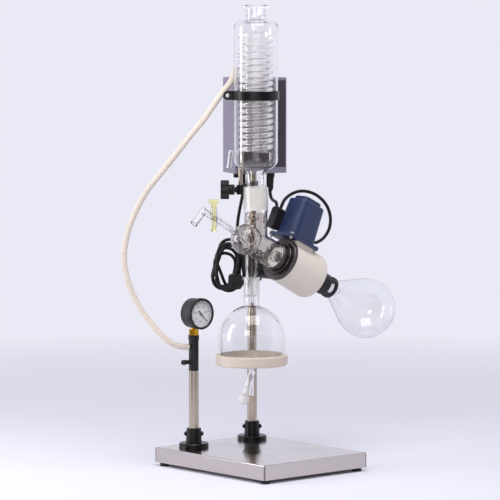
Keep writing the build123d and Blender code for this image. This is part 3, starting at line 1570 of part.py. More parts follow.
# Glass vapour tube through the spindle, with a bead and a joint cone for the flask
tube_bore = vapour_tube_radius - vapour_tube_wall
bead_end = spindle_end + vapour_bead_length
cone_end = bead_end + flask_joint_length
cone_small = flask_joint_radius - joint_slope * flask_joint_length
with BuildPart() as vapour_tube:
    turn(drive_section, drive_axis, [
        (vapour_tube_start, tube_bore),
        (vapour_tube_start, vapour_tube_radius),
        (spindle_end, vapour_tube_radius),
        (spindle_end, vapour_bead_radius),
        (bead_end, vapour_bead_radius),
        (bead_end, flask_joint_radius),
        (cone_end, cone_small),
        (cone_end + vapour_shoulder, vapour_tip_radius),
        (cone_end + vapour_tip_length, vapour_tip_radius),
        (cone_end + vapour_tip_length, vapour_tip_radius - vapour_tube_wall),
        (cone_end, vapour_tip_radius - vapour_tube_wall),
        (cone_end - vapour_shoulder, tube_bore),
    ])
vapour_tube.part.label = "vapour_tube"
export_step(vapour_tube.part, "parts/vapour_tube.step")


def flask_outline(inset, mouth_radius, throat_radius):
    """Half section of the pear flask: joint, cone tangent to the bulb, bulb. Drawn along the axis."""
    bulb = flask_radius - inset
    throat = flask_neck_radius - inset
    reach = flask_centre - flask_neck_end
    away = sqrt(reach**2 + throat**2)
    climb = asin(bulb / away) - atan2(throat, reach)
    slant = sqrt(away**2 - bulb**2)
    tangent = (flask_neck_end + slant * cos(climb), throat + slant * sin(climb))
    with BuildLine() as outline:
        if inset:
            Polyline(
                (flask_centre + bulb, 0), (flask_mouth, 0), (flask_mouth, mouth_radius),
                (cone_end, throat_radius), (flask_neck_end, throat), tangent,
            )
        else:
            Polyline(
                (flask_centre + bulb, 0), (flask_mouth, 0), (flask_mouth, mouth_radius),
                (flask_mouth + flask_bead_length, mouth_radius),
                (flask_mouth + flask_bead_length, throat_radius),
                (flask_neck_end, throat_radius), tangent,
            )
        RadiusArc(tangent, (flask_centre + bulb, 0), bulb, short_sagitta=True)
    make_face(outline.edges())


# Evaporating flask: pear shape with a beaded joint socket
flask_mouth = bead_end + free_gap
with BuildPart() as flask:
    with BuildSketch(drive_section):
        flask_outline(0, flask_bead_radius, flask_neck_radius)
    revolve(axis=drive_axis)
    with BuildSketch(drive_section):
        flask_outline(glass_wall, flask_joint_radius + seat_gap, cone_small + seat_gap)
    revolve(axis=drive_axis, mode=Mode.SUBTRACT)
flask.part.label = "flask"
export_step(flask.part, "parts/flask.step")

# Plastic clip that locks the flask's bead to the spindle
bead_back = flask_mouth + flask_bead_length
with BuildPart() as flask_clip:
    turn(drive_section, drive_axis, [
        (clip_start, bearing_bore + seat_gap),
        (clip_start, clip_radius - edge_break),
        (clip_start + edge_break, clip_radius),
        (clip_end, clip_radius),
        (clip_end, flask_neck_radius + seat_gap),
        (clip_end - clip_lip, flask_neck_radius + seat_gap),
        (clip_end - clip_lip, flask_bead_radius + seat_gap),
        (bead_back + clip_lip, flask_bead_radius + seat_gap),
        (bead_back + clip_lip, flask_neck_radius + seat_gap),
        (bead_back + seat_gap, flask_neck_radius + seat_gap),
        (bead_back + seat_gap, flask_bead_radius + seat_gap),
        (spindle_end, flask_bead_radius + seat_gap),
        (spindle_end, bearing_bore + seat_gap),
    ])
    window_low = bead_back + clip_lip
    window_high = clip_end - clip_lip
    window_width = 2 * clip_radius * sin(radians(clip_window_angle / 2))
    with BuildSketch(drive_plane(window_low)):
        with PolarLocations(clip_radius, clip_windows, start_angle=clip_window_turn):
            Rectangle(clip_radius, window_width)
    extrude(amount=window_high - window_low, mode=Mode.SUBTRACT)
flask_clip.part.label = "flask_clip"
export_step(flask_clip.part, "parts/flask_clip.step")

# Motor: flange plate, hollow tapered housing with a raised cap, stator, rotor with pinion
flange_top_h = motor_pad_height + motor_flange_thick
body_top_h = flange_top_h + motor_body_height
with BuildPart() as motor_flange:
    with BuildSketch(motor_plane(motor_pad_height)):
        RectangleRounded(motor_flange_length, motor_flange_width, motor_flange_corner)
        Circle(motor_shaft_radius + running_gap, mode=Mode.SUBTRACT)
        with GridLocations(2 * motor_screw_x, 2 * motor_screw_y, 2, 2):
            Circle(motor_screw_radius + seat_gap, mode=Mode.SUBTRACT)
    extrude(amount=motor_flange_thick)
motor_flange.part.label = "motor_flange"
export_step(motor_flange.part, "parts/motor_flange.step")

terminal_face = motor_at - motor_base_length / 2 - terminal_gap
with BuildPart() as motor_housing:
    with BuildSketch(motor_plane(flange_top_h)):
        RectangleRounded(motor_base_length, motor_base_width, motor_corner)
    with BuildSketch(motor_plane(body_top_h)):
        RectangleRounded(motor_top_length, motor_top_width, motor_corner)
    loft()
    fillet(motor_housing.faces().sort_by(Axis(ball, drive_up))[-1].edges(), motor_edge)
    with BuildSketch(motor_plane(body_top_h)):
        RectangleRounded(motor_cap_length, motor_cap_width, motor_cap_corner)
    extrude(amount=motor_cap_height)
    fillet(motor_housing.faces().sort_by(Axis(ball, drive_up))[-1].edges(), motor_edge)
    terminal_mid = terminal_low + terminal_height / 2
    terminal_pad_depth = motor_base_length / 2 + terminal_gap
    terminal_pad_plane = Plane(
        origin=ball + drive_dir * terminal_face + drive_up * terminal_mid + Vector(0, terminal_side, 0),
        x_dir=(0, 1, 0),
        z_dir=drive_dir,
    )
    with BuildSketch(terminal_pad_plane):
        with Locations((-terminal_width / 4, 0)):
            Rectangle(terminal_width / 2, terminal_height - 2 * terminal_corner)
    extrude(amount=terminal_pad_depth / 2)
    entry_z = flange_top_h + motor_entry_height
    entry_start = ball + drive_dir * (motor_at + motor_top_length / 2) + drive_up * entry_z
    entry_reach = motor_at + motor_base_length / 2 + motor_entry_length
    entry_end = ball + drive_dir * entry_reach + drive_up * entry_z
    rod_between(entry_start, entry_end, motor_entry_radius)
    with BuildSketch(motor_plane(flange_top_h)):
        RectangleRounded(
            motor_base_length - 2 * motor_wall, motor_base_width - 2 * motor_wall, motor_corner - motor_wall
        )
    with BuildSketch(motor_plane(body_top_h - motor_wall)):
        RectangleRounded(
            motor_top_length - 2 * motor_wall, motor_top_width - 2 * motor_wall, motor_corner - motor_wall
        )
    loft(mode=Mode.SUBTRACT)
    with BuildSketch(motor_plane(body_top_h - motor_wall)):
        Circle(motor_boss_radius)
        Circle(motor_shaft_radius + running_gap, mode=Mode.SUBTRACT)
    extrude(amount=-motor_boss_height)
motor_housing.part.label = "motor_housing"
export_step(motor_housing.part, "parts/motor_housing.step")

with BuildPart() as motor_stator:
    with BuildSketch(motor_plane(motor_core_low)):
        Circle(motor_stator_radius)
        Circle(motor_rotor_radius + motor_air_gap, mode=Mode.SUBTRACT)
    extrude(amount=motor_core_high - motor_core_low)
motor_stator.part.label = "motor_stator"
export_step(motor_stator.part, "parts/motor_stator.step")

with BuildPart() as motor_rotor:
    pinion_low = crown_pitch - gear_face / 2
    with BuildSketch(motor_plane(pinion_low)):
        pinion_root = pinion_pitch - gear_module - gear_clearance
        pinion_tip = pinion_pitch + gear_module
        Circle(pinion_root)
        with PolarLocations(pinion_root, pinion_teeth):
            Trapezoid(
                pinion_tooth_foot,
                2 * (pinion_tip - pinion_root),
                pinion_tooth_angle,
                rotation=-90,
            )
    extrude(amount=gear_face)
    with BuildSketch(motor_plane(pinion_low)):
        Circle(motor_shaft_radius)
    extrude(amount=body_top_h - motor_wall - free_gap - pinion_low)
    with BuildSketch(motor_plane(motor_core_low)):
        Circle(motor_rotor_radius)
    extrude(amount=motor_core_high - motor_core_low)
motor_rotor.part.label = "motor_rotor"
export_step(motor_rotor.part, "parts/motor_rotor.step")

with BuildPart() as motor_screws:
    with BuildSketch(motor_plane(flange_top_h)):
        with GridLocations(2 * motor_screw_x, 2 * motor_screw_y, 2, 2):
            Circle(motor_screw_head)
    extrude(amount=motor_screw_head_height)
    fillet(motor_screws.faces().group_by(Axis(ball, drive_up))[-1].edges(), motor_screw_head_height / 3)
    with BuildSketch(motor_plane(flange_top_h + motor_screw_head_height)):
        with GridLocations(2 * motor_screw_x, 2 * motor_screw_y, 2, 2):
            Rectangle(2 * motor_screw_head, motor_screw_slot)
    extrude(amount=-motor_screw_head_height / 2, mode=Mode.SUBTRACT)
    with BuildSketch(motor_plane(flange_top_h)):
        with GridLocations(2 * motor_screw_x, 2 * motor_screw_y, 2, 2):
            Circle(motor_screw_radius)
    extrude(amount=-motor_screw_length)
    with BuildSketch(motor_plane(motor_pad_height)):
        for side in (-motor_screw_y, motor_screw_y):
            with Locations((-motor_screw_x, side)):
                RegularPolygon(motor_nut_radius, 6)
    extrude(amount=-motor_screw_head_height)
motor_screws.part.label = "motor_screws"
export_step(motor_screws.part, "parts/motor_screws.step")

with BuildPart() as terminal_box:
    with BuildSketch(terminal_pad_plane):
        RectangleRounded(terminal_width, terminal_height, terminal_corner)
    extrude(amount=-terminal_length)
    fillet(terminal_box.faces().sort_by(Axis(ball, drive_dir))[0].edges(), terminal_edge)
terminal_box.part.label = "terminal_box"
export_step(terminal_box.part, "parts/terminal_box.step")

# Leads between the control box, the terminal box and the motor, held at both ends
connector_spot = box_plane(connector_low).from_local_coords(Vector(connector_x, connector_y, 0))
supply_route = [
    (connector_spot.X, connector_spot.Y, connector_low),
    (121.0, 105.0, 568.0),
    (118.5, 98.0, 560.5),
    (113.5, 86.0, 557.0),
    (108.0, 74.0, 556.5),
    (103.5, 64.5, 553.5),
    (99.0, 59.0, 544.5),
]
with BuildPart() as supply_lead:
    lay_cord("supply_lead", supply_route, lead_radius)
supply_lead.part.label = "supply_lead"
export_step(supply_lead.part, "parts/supply_lead.step")

motor_route = [
    (106.8, 57.0, 540.2),
    (113.0, 57.5, 551.5),
    (123.0, 60.0, 562.0),
    (139.0, 59.5, 571.5),
    (160.0, 54.0, 578.5),
    (184.0, 45.0, 575.0),
    (205.0, 38.0, 563.0),
    (221.5, 32.5, 543.5),
    (229.0, 30.0, 519.0),
    (225.5, 29.5, 495.5),
    (212.0, 30.0, 477.5),
    (195.0, 30.0, 468.5),
    (182.0, 30.0, 466.0),
    tuple(entry_end),
]
with BuildPart() as motor_lead:
    lay_cord("motor_lead", motor_route, lead_radius)
motor_lead.part.label = "motor_lead"
export_step(motor_lead.part, "parts/motor_lead.step")

# Vacuum hose from the gauge manifold to the condenser
hose_route = [
    (post_x - vacuum_nozzle_reach, post_y, vacuum_nozzle_z),
    (-109.0, 125.5, 255.5),
    (-124.0, 129.0, 259.5),
    (-140.0, 138.0, 269.5),
    (-159.0, 157.0, 295.5),
    (-180.0, 186.0, 343.0),
    (-196.0, 201.0, 392.0),
    (-202.0, 208.0, 438.0),
    (-198.0, 206.0, 482.0),
    (-187.0, 198.0, 526.0),
    (-165.0, 180.0, 583.0),
    (-139.0, 159.0, 623.0),
    (-114.0, 138.0, 664.0),
    (-91.0, 119.0, 703.0),
    (-66.0, 108.0, 733.0),
    (-43.8, 99.1, 766.0),
    (-22.4, 93.1, 794.0),
    (-10.5, 90.0, 807.0),
    (-1.6, 88.1, 819.0),
    (2.4, 86.6, 832.0),
    tuple(vacuum_tip),
]
with BuildPart() as vacuum_hose:
    lay_cord("vacuum_hose", hose_route, hose_radius)
vacuum_hose.part.label = "vacuum_hose"
export_step(vacuum_hose.part, "parts/vacuum_hose.step")

# Mains cord: from the gland down to a bound hank, with the plug hanging in front of it
gland_spot = box_plane(box_bottom - gland_length).from_local_coords(Vector(gland_x, gland_y, 0))
hank_centre = (mast_x - hank_beside, mast_y + hank_behind, hank_z)
hank_plane = Plane(origin=hank_centre, x_dir=-side_dir, z_dir=-back_dir)
hank_top = hank_z + hank_height / 2
mains_route = [
    tuple(gland_spot),
    (84.8, 149.5, 587.0),
    (84.7, 151.4, 575.0),
    (84.6, 157.4, 555.0),
    (85.5, 166.0, 530.0),
    (86.8, 172.8, 507.0),
    (87.9, 174.8, 491.0),
    (88.5, 174.7, hank_top),
]
with BuildPart() as mains_cord:
    lay_cord("mains_cord", mains_route, mains_radius)
mains_cord.part.label = "mains_cord"
export_step(mains_cord.part, "parts/mains_cord.step")

with BuildPart() as cord_hank:
    with BuildSketch(hank_plane.offset(-hank_thick / 2)):
        RectangleRounded(hank_width, hank_height, hank_corner)
    extrude(amount=hank_thick)
    fillet(cord_hank.faces().filter_by(Axis((0, 0, 0), back_dir)).edges(), hank_edge)
cord_hank.part.label = "cord_hank"
export_step(cord_hank.part, "parts/cord_hank.step")

with BuildPart() as mains_plug:
    plug_back = hank_plane.offset(hank_thick / 2)
    with BuildSketch(plug_back):
        with Locations((plug_side, -plug_drop)):
            RectangleRounded(plug_width, plug_height, plug_corner)
    extrude(amount=plug_depth)
    with BuildSketch(plug_back.offset(plug_depth)):
        with Locations((plug_side, -plug_drop)):
            with PolarLocations(pin_spread, 3, start_angle=90):
                Circle(pin_radius)
    extrude(amount=pin_length)
mains_plug.part.label = "mains_plug"
export_step(mains_plug.part, "parts/mains_plug.step")
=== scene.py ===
import math

import bpy
from mathutils import Matrix, Vector


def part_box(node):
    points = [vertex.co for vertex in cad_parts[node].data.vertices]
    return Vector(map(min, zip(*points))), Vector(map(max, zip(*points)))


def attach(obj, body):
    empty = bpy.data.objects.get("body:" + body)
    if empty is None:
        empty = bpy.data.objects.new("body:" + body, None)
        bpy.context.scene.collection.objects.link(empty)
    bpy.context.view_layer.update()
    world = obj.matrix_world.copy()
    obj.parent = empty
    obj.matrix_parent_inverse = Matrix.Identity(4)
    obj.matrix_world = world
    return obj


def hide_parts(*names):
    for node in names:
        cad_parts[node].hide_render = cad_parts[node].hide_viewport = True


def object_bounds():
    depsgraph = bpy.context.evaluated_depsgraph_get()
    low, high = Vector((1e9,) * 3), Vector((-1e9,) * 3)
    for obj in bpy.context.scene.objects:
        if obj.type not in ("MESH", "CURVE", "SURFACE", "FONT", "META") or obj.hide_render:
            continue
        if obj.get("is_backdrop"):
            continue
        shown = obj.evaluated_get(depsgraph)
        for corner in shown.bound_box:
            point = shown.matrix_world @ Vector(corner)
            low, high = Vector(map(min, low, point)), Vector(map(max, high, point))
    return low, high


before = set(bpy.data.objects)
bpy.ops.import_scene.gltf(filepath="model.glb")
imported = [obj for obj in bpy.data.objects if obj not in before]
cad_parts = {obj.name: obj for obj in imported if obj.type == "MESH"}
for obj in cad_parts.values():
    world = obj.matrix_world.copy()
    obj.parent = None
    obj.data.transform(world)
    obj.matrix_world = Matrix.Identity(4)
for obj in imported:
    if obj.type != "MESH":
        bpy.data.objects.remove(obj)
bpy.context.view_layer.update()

# The photo's camera stands about 6.7 m off and a metre above the table, with a long lens that looks down
# a little.
camera_pitch, camera_heading = math.radians(90 - 4.84), math.radians(-41.192)
camera_data = bpy.data.cameras.new("photo_camera")
camera_data.sensor_width = 36
camera_data.lens = 230.4
camera_data.clip_end = 100
camera = bpy.data.objects.new("photo_camera", camera_data)
camera.location = (-4.4291, -5.0279, 1.0303)
camera.rotation_euler = (camera_pitch, 0, camera_heading)
bpy.context.collection.objects.link(camera)
bpy.context.scene.camera = camera


# Base tray: one sheet of stainless steel folded down on four sides. The brushed sheet gives long soft
# reflections of what stands on it, and hands leave faint duller patches.
def linear(colour):
    """An sRGB hex colour as linear red, green, blue and alpha."""
    parts = [int(colour[i : i + 2], 16) / 255 for i in (1, 3, 5)]
    return (*[p / 12.92 if p <= 0.04045 else ((p + 0.055) / 1.055) ** 2.4 for p in parts], 1)


def start(name):
    """A new material and its empty node tree."""
    made = bpy.data.materials.new(name)
    made.use_nodes = True
    made.node_tree.nodes.clear()
    return made, made.node_tree


def add(tree, kind, inputs={}, **settings):
    """Adds a node: settings are its own fields, and an input is a number, a colour or a socket to link."""
    made = tree.nodes.new(kind)
    for field, value in settings.items():
        setattr(made, field, value)
    for socket, value in inputs.items():
        if isinstance(value, bpy.types.NodeSocket):
            tree.links.new(value, made.inputs[socket])
        else:
            made.inputs[socket].default_value = value
    return made


def dress(material, *nodes):
    """Gives CAD nodes their material."""
    for node in nodes:
        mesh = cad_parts[node].data
        mesh.materials.clear()
        mesh.materials.append(material)


stainless, tree = start("brushed_stainless_sheet")
place = add(tree, "ShaderNodeTexCoord")
# Real brush lines are 0.2 mm apart; these are 3 mm, the finest that shows at this distance
along = add(tree, "ShaderNodeMapping", {
    "Vector": place.outputs["Object"], "Scale": (1000 / 3, 1000 / 150, 1000 / 3)})
lines = add(tree, "ShaderNodeTexNoise", {"Vector": along.outputs[0], "Scale": 1, "Detail": 3})
patches = add(tree, "ShaderNodeTexNoise", {
    "Vector": place.outputs["Object"], "Scale": 1000 / 70, "Detail": 3})
tone = add(tree, "ShaderNodeMixRGB", {
    "Fac": lines.outputs["Fac"], "Color1": linear("#BEB6B4"), "Color2": linear("#CFC7C5")})
# The four corners are closed by a ground weld, a dull line 2.5 mm wide on each face
weld_from_x, weld_from_y, weld_edge = 0.1395, 0.172, 0.001
axes = add(tree, "ShaderNodeSeparateXYZ", {"Vector": place.outputs["Object"]})
across = add(tree, "ShaderNodeMath", {0: axes.outputs["X"]}, operation="ABSOLUTE")
deep = add(tree, "ShaderNodeMath", {0: axes.outputs["Y"]}, operation="ABSOLUTE")
near_x = add(tree, "ShaderNodeMapRange", {
    "Value": across.outputs[0], "From Min": weld_from_x, "From Max": weld_from_x + weld_edge})
near_y = add(tree, "ShaderNodeMapRange", {
    "Value": deep.outputs[0], "From Min": weld_from_y, "From Max": weld_from_y + weld_edge})
weld = add(tree, "ShaderNodeMath", {0: near_x.outputs[0], 1: near_y.outputs[0]}, operation="MULTIPLY")
tone = add(tree, "ShaderNodeMixRGB", {
    "Fac": weld.outputs[0], "Color1": tone.outputs[0], "Color2": linear("#7C7472")})
dull = add(tree, "ShaderNodeMapRange", {
    "Value": patches.outputs["Fac"], "From Min": 0.35, "From Max": 0.7, "To Min": 0.1, "To Max": 0.22})
relief = add(tree, "ShaderNodeBump", {"Strength": 0.05, "Distance": 0.0005, "Height": lines.outputs["Fac"]})
shader = add(tree, "ShaderNodeBsdfPrincipled", {
    "Base Color": tone.outputs[0], "Metallic": 1, "Roughness": dull.outputs[0], "Normal": relief.outputs[0]})
add(tree, "ShaderNodeOutputMaterial", {"Surface": shader.outputs[0]})
dress(stainless, "base_tray")

# Four moulded rubber feet screwed under the tray's corners. The rubber is dull black and a little dusty,
# so it hardly shines and ends the tray in a soft dark line.
rubber, tree = start("black_rubber")
place = add(tree, "ShaderNodeTexCoord")
dust = add(tree, "ShaderNodeTexNoise", {"Vector": place.outputs["Object"], "Scale": 1000 / 6, "Detail": 4})
tone = add(tree, "ShaderNodeMixRGB", {
    "Fac": dust.outputs["Fac"], "Color1": linear("#0F0E0F"), "Color2": linear("#1E1C1D")})
shader = add(tree, "ShaderNodeBsdfPrincipled", {
    "Base Color": tone.outputs[0], "Roughness": 0.75, "IOR": 1.52})
add(tree, "ShaderNodeOutputMaterial", {"Surface": shader.outputs[0]})
dress(rubber, "feet")

# Floor flanges and clamps: iron castings with a satin black powder coat, whose faint orange peel breaks up
# the highlights.
black_coat, tree = start("black_powder_coat")
place = add(tree, "ShaderNodeTexCoord")
peel = add(tree, "ShaderNodeTexNoise", {
    "Vector": place.outputs["Object"], "Scale": 1000 / 2.5, "Detail": 2})
rubbed = add(tree, "ShaderNodeTexNoise", {
    "Vector": place.outputs["Object"], "Scale": 1000 / 18, "Detail": 3})
tone = add(tree, "ShaderNodeMixRGB", {
    "Fac": rubbed.outputs["Fac"], "Color1": linear("#0C0B0C"), "Color2": linear("#171517")})
gloss = add(tree, "ShaderNodeMapRange", {"Value": rubbed.outputs["Fac"], "To Min": 0.22, "To Max": 0.4})
relief = add(tree, "ShaderNodeBump", {"Strength": 0.15, "Distance": 0.0004, "Height": peel.outputs["Fac"]})
shader = add(tree, "ShaderNodeBsdfPrincipled", {
    "Base Color": tone.outputs[0], "Roughness": gloss.outputs[0], "IOR": 1.5, "Specular IOR Level": 0.3,
    "Normal": relief.outputs[0]})
add(tree, "ShaderNodeOutputMaterial", {"Surface": shader.outputs[0]})
dress(black_coat, "mast_flange", "gauge_flange", "rod_clamp", "head_clamp", "mast_socket", "strap_clamp")

# Screws: turned and rolled steel, plated with zinc on the motor and the strap and blackened in the flanges.
# The zinc gives small cold sparks of light, uneven from its crystals.
zinc, tree = start("zinc_plate")
place = add(tree, "ShaderNodeTexCoord")
spangle = add(tree, "ShaderNodeTexNoise", {
    "Vector": place.outputs["Object"], "Scale": 1000 / 2, "Detail": 2})
tone = add(tree, "ShaderNodeMixRGB", {
    "Fac": spangle.outputs["Fac"], "Color1": linear("#B9B7B6"), "Color2": linear("#DAD9DC")})
gloss = add(tree, "ShaderNodeMapRange", {"Value": spangle.outputs["Fac"], "To Min": 0.22, "To Max": 0.4})
shader = add(tree, "ShaderNodeBsdfPrincipled", {
    "Base Color": tone.outputs[0], "Metallic": 1, "Roughness": gloss.outputs[0]})
add(tree, "ShaderNodeOutputMaterial", {"Surface": shader.outputs[0]})
dress(zinc, "motor_screws", "strap_screw")

# The black oxide leaves a dark metal with a broad, weak shine
oxide, tree = start("black_oxide_steel")
place = add(tree, "ShaderNodeTexCoord")
bloom = add(tree, "ShaderNodeTexNoise", {"Vector": place.outputs["Object"], "Scale": 1000 / 3, "Detail": 2})
tone = add(tree, "ShaderNodeMixRGB", {
    "Fac": bloom.outputs["Fac"], "Color1": linear("#2B2A2C"), "Color2": linear("#454347")})
shader = add(tree, "ShaderNodeBsdfPrincipled", {
    "Base Color": tone.outputs[0], "Metallic": 1, "Roughness": 0.42})
add(tree, "ShaderNodeOutputMaterial", {"Surface": shader.outputs[0]})
dress(oxide, "hex_screws")

# Mast, gauge post and support rod: drawn stainless tube, ground all over, so that fine rings run round it and
# the room shows as soft upright streaks.
tube_steel, tree = start("ground_steel_tube")
place = add(tree, "ShaderNodeTexCoord")
# Grinding rings are finer than 0.1 mm; these are 4 mm and faint
rings = add(tree, "ShaderNodeMapping", {
    "Vector": place.outputs["Object"], "Scale": (1000 / 60, 1000 / 60, 1000 / 4)})
ground = add(tree, "ShaderNodeTexNoise", {"Vector": rings.outputs[0], "Scale": 1, "Detail": 4})
tone = add(tree, "ShaderNodeMixRGB", {
    "Fac": ground.outputs["Fac"], "Color1": linear("#B0A494"), "Color2": linear("#BDB1A1")})
gloss = add(tree, "ShaderNodeMapRange", {"Value": ground.outputs["Fac"], "To Min": 0.12, "To Max": 0.2})
shader = add(tree, "ShaderNodeBsdfPrincipled", {
    "Base Color": tone.outputs[0], "Metallic": 1, "Roughness": gloss.outputs[0]})
add(tree, "ShaderNodeOutputMaterial", {"Surface": shader.outputs[0]})
dress(tube_steel, "mast_tube", "gauge_post", "support_rod")

# Vacuum manifold: a moulded black sleeve on the post with two hose nozzles, and the other small mouldings
# of the stand. The grained nylon has wide, soft highlights, a little shinier where hands rub it.
black_plastic, tree = start("black_nylon")
place = add(tree, "ShaderNodeTexCoord")
grain = add(tree, "ShaderNodeTexNoise", {
    "Vector": place.outputs["Object"], "Scale": 1000 / 1.5, "Detail": 2})
worn = add(tree, "ShaderNodeTexNoise", {"Vector": place.outputs["Object"], "Scale": 1000 / 14, "Detail": 3})
tone = add(tree, "ShaderNodeMixRGB", {
    "Fac": worn.outputs["Fac"], "Color1": linear("#110E10"), "Color2": linear("#1E1A1D")})
gloss = add(tree, "ShaderNodeMapRange", {"Value": worn.outputs["Fac"], "To Min": 0.36, "To Max": 0.56})
relief = add(tree, "ShaderNodeBump", {"Strength": 0.12, "Distance": 0.0003, "Height": grain.outputs["Fac"]})
shader = add(tree, "ShaderNodeBsdfPrincipled", {
    "Base Color": tone.outputs[0], "Roughness": gloss.outputs[0], "IOR": 1.53, "Specular IOR Level": 0.35,
    "Normal": relief.outputs[0]})
add(tree, "ShaderNodeOutputMaterial", {"Surface": shader.outputs[0]})
dress(black_plastic, "gauge_manifold", "speed_knob", "power_rocker", "cord_gland", "fuse_holder",
      "lead_connector", "lock_knob", "flask_clip", "terminal_box", "gauge_bezel", "mains_plug")

# Vacuum gauge: a dial of white enamel with printed divisions, a black pointer on a brass movement with its
# hexagon below, and a flat glass in the bezel. The brass, which the crown gear in the drive shares, is warm
# and streaked by the lathe.
brass, tree = start("machined_brass")
place = add(tree, "ShaderNodeTexCoord")
turned = add(tree, "ShaderNodeTexNoise", {
    "Vector": place.outputs["Object"], "Scale": 1000 / 3, "Detail": 3})
tone = add(tree, "ShaderNodeMixRGB", {
    "Fac": turned.outputs["Fac"], "Color1": linear("#C08A18"), "Color2": linear("#E3B23A")})
gloss = add(tree, "ShaderNodeMapRange", {"Value": turned.outputs["Fac"], "To Min": 0.18, "To Max": 0.34})
shader = add(tree, "ShaderNodeBsdfPrincipled", {
    "Base Color": tone.outputs[0], "Metallic": 1, "Roughness": gloss.outputs[0]})
add(tree, "ShaderNodeOutputMaterial", {"Surface": shader.outputs[0]})
dress(brass, "gauge_movement", "crown_gear")

# Its case has fine moulded ribs round the side, for the hand that screws it in, with painted light and shade
# on them
ribbed, tree = start("ribbed_black_plastic")
case_middle, rib_count = (-0.078, 0, 0.3255), 72
place = add(tree, "ShaderNodeTexCoord")
case_axis = add(tree, "ShaderNodeMapping", {
    "Vector": place.outputs["Object"], "Location": case_middle, "Rotation": (-math.pi / 2, 0, 0),
}, vector_type="TEXTURE")
turned = add(tree, "ShaderNodeTexGradient", {"Vector": case_axis.outputs[0]}, gradient_type="RADIAL")
count = add(tree, "ShaderNodeMath", {0: turned.outputs["Fac"], 1: rib_count}, operation="MULTIPLY")
ribs_with_painted_shade = add(tree, "ShaderNodeMath", {0: count.outputs[0], 1: 0.5}, operation="PINGPONG")
# Painted light and shade: the colour runs from dark to lighter plastic across each rib
tone = add(tree, "ShaderNodeMixRGB", {
    "Fac": ribs_with_painted_shade.outputs[0], "Color1": linear("#171215"), "Color2": linear("#332A2E")})
relief = add(tree, "ShaderNodeBump", {"Strength": 0.5, "Distance": 0.0012, "Height": ribs_with_painted_shade.outputs[0]})
shader = add(tree, "ShaderNodeBsdfPrincipled", {
    "Base Color": tone.outputs[0], "Roughness": 0.45, "IOR": 1.53, "Normal": relief.outputs[0]})
add(tree, "ShaderNodeOutputMaterial", {"Surface": shader.outputs[0]})
dress(ribbed, "gauge_case")

# Enamel fired on the dial: an even, cool white with a soft shine
enamel, tree = start("white_dial_enamel")
place = add(tree, "ShaderNodeTexCoord")
flow = add(tree, "ShaderNodeTexNoise", {"Vector": place.outputs["Object"], "Scale": 1000 / 9, "Detail": 2})
tone = add(tree, "ShaderNodeMixRGB", {
    "Fac": flow.outputs["Fac"], "Color1": linear("#ECEAF0"), "Color2": linear("#F7F6FA")})
shader = add(tree, "ShaderNodeBsdfPrincipled", {
    "Base Color": tone.outputs[0], "Roughness": 0.35, "IOR": 1.5})
add(tree, "ShaderNodeOutputMaterial", {"Surface": shader.outputs[0]})
dress(enamel, "gauge_dial")

# Ink of the print and paint of the pointer: matt black, a little thin in places
ink, tree = start("black_ink")
place = add(tree, "ShaderNodeTexCoord")
cover = add(tree, "ShaderNodeTexNoise", {"Vector": place.outputs["Object"], "Scale": 1000 / 2, "Detail": 2})
tone = add(tree, "ShaderNodeMixRGB", {
    "Fac": cover.outputs["Fac"], "Color1": linear("#0E0E10"), "Color2": linear("#1D1C20")})
shader = add(tree, "ShaderNodeBsdfPrincipled", {
    "Base Color": tone.outputs[0], "Roughness": 0.5, "IOR": 1.5})
add(tree, "ShaderNodeOutputMaterial", {"Surface": shader.outputs[0]})
dress(ink, "gauge_pointer")

# Flat glass: clear and sharp in its reflections, with a faint haze where it was wiped
lens, tree = start("window_glass")
place = add(tree, "ShaderNodeTexCoord")
haze = add(tree, "ShaderNodeTexNoise", {"Vector": place.outputs["Object"], "Scale": 1000 / 12, "Detail": 3})
gloss = add(tree, "ShaderNodeMapRange", {
    "Value": haze.outputs["Fac"], "From Min": 0.4, "From Max": 0.8, "To Min": 0.0, "To Max": 0.04})
# Light goes through the glass to the dial, so its shadow is faint
ray = add(tree, "ShaderNodeLightPath")
through = add(tree, "ShaderNodeMapRange", {
    "Value": ray.outputs["Is Shadow Ray"], "To Min": 1, "To Max": 0.08})
shader = add(tree, "ShaderNodeBsdfPrincipled", {
    "Base Color": linear("#FBFCFC"), "Roughness": gloss.outputs[0], "IOR": 1.52, "Transmission Weight": 1,
    "Alpha": through.outputs[0]})
add(tree, "ShaderNodeOutputMaterial", {"Surface": shader.outputs[0]})
dress(lens, "gauge_lens")


def solid(name, verts, faces, material, body):
    """A mesh piece that rides on a body."""
    mesh = bpy.data.meshes.new(name)
    mesh.from_pydata([tuple(v) for v in verts], [], faces)
    mesh.materials.append(material)
    piece = bpy.data.objects.new(name, mesh)
    bpy.context.collection.objects.link(piece)
    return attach(piece, body)


def bars(strokes, origin, right, up, thick):
    """Corners and faces of thin printed bars on a face: each stroke is its two ends and its width."""
    verts, faces = [], []
    out = right.cross(up)
    for (x0, z0), (x1, z1), width in strokes:
        run = Vector((x1 - x0, z1 - z0)).normalized() * width / 2
        ring = [(x0 - run.y, z0 + run.x), (x0 + run.y, z0 - run.x),
                (x1 + run.y, z1 - run.x), (x1 - run.y, z1 + run.x)]
        first = len(verts)
        for lift in (0, thick):
            verts += [origin + right * x + up * z + out * lift for x, z in ring]
        faces += [(first + 3, first + 2, first + 1, first), (first + 4, first + 5, first + 6, first + 7)]
        faces += [(first + i, first + (i + 1) % 4, first + 4 + (i + 1) % 4, first + 4 + i) for i in range(4)]
    return verts, faces


east, upward = Vector((1, 0, 0)), Vector((0, 0, 1))
dial_low, dial_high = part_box("gauge_dial")
dial_middle = Vector(((dial_low.x + dial_high.x) / 2, dial_low.y, (dial_low.z + dial_high.z) / 2))
zero_angle, sweep, divisions = -45, 270, 50
print_thick = 0.00004
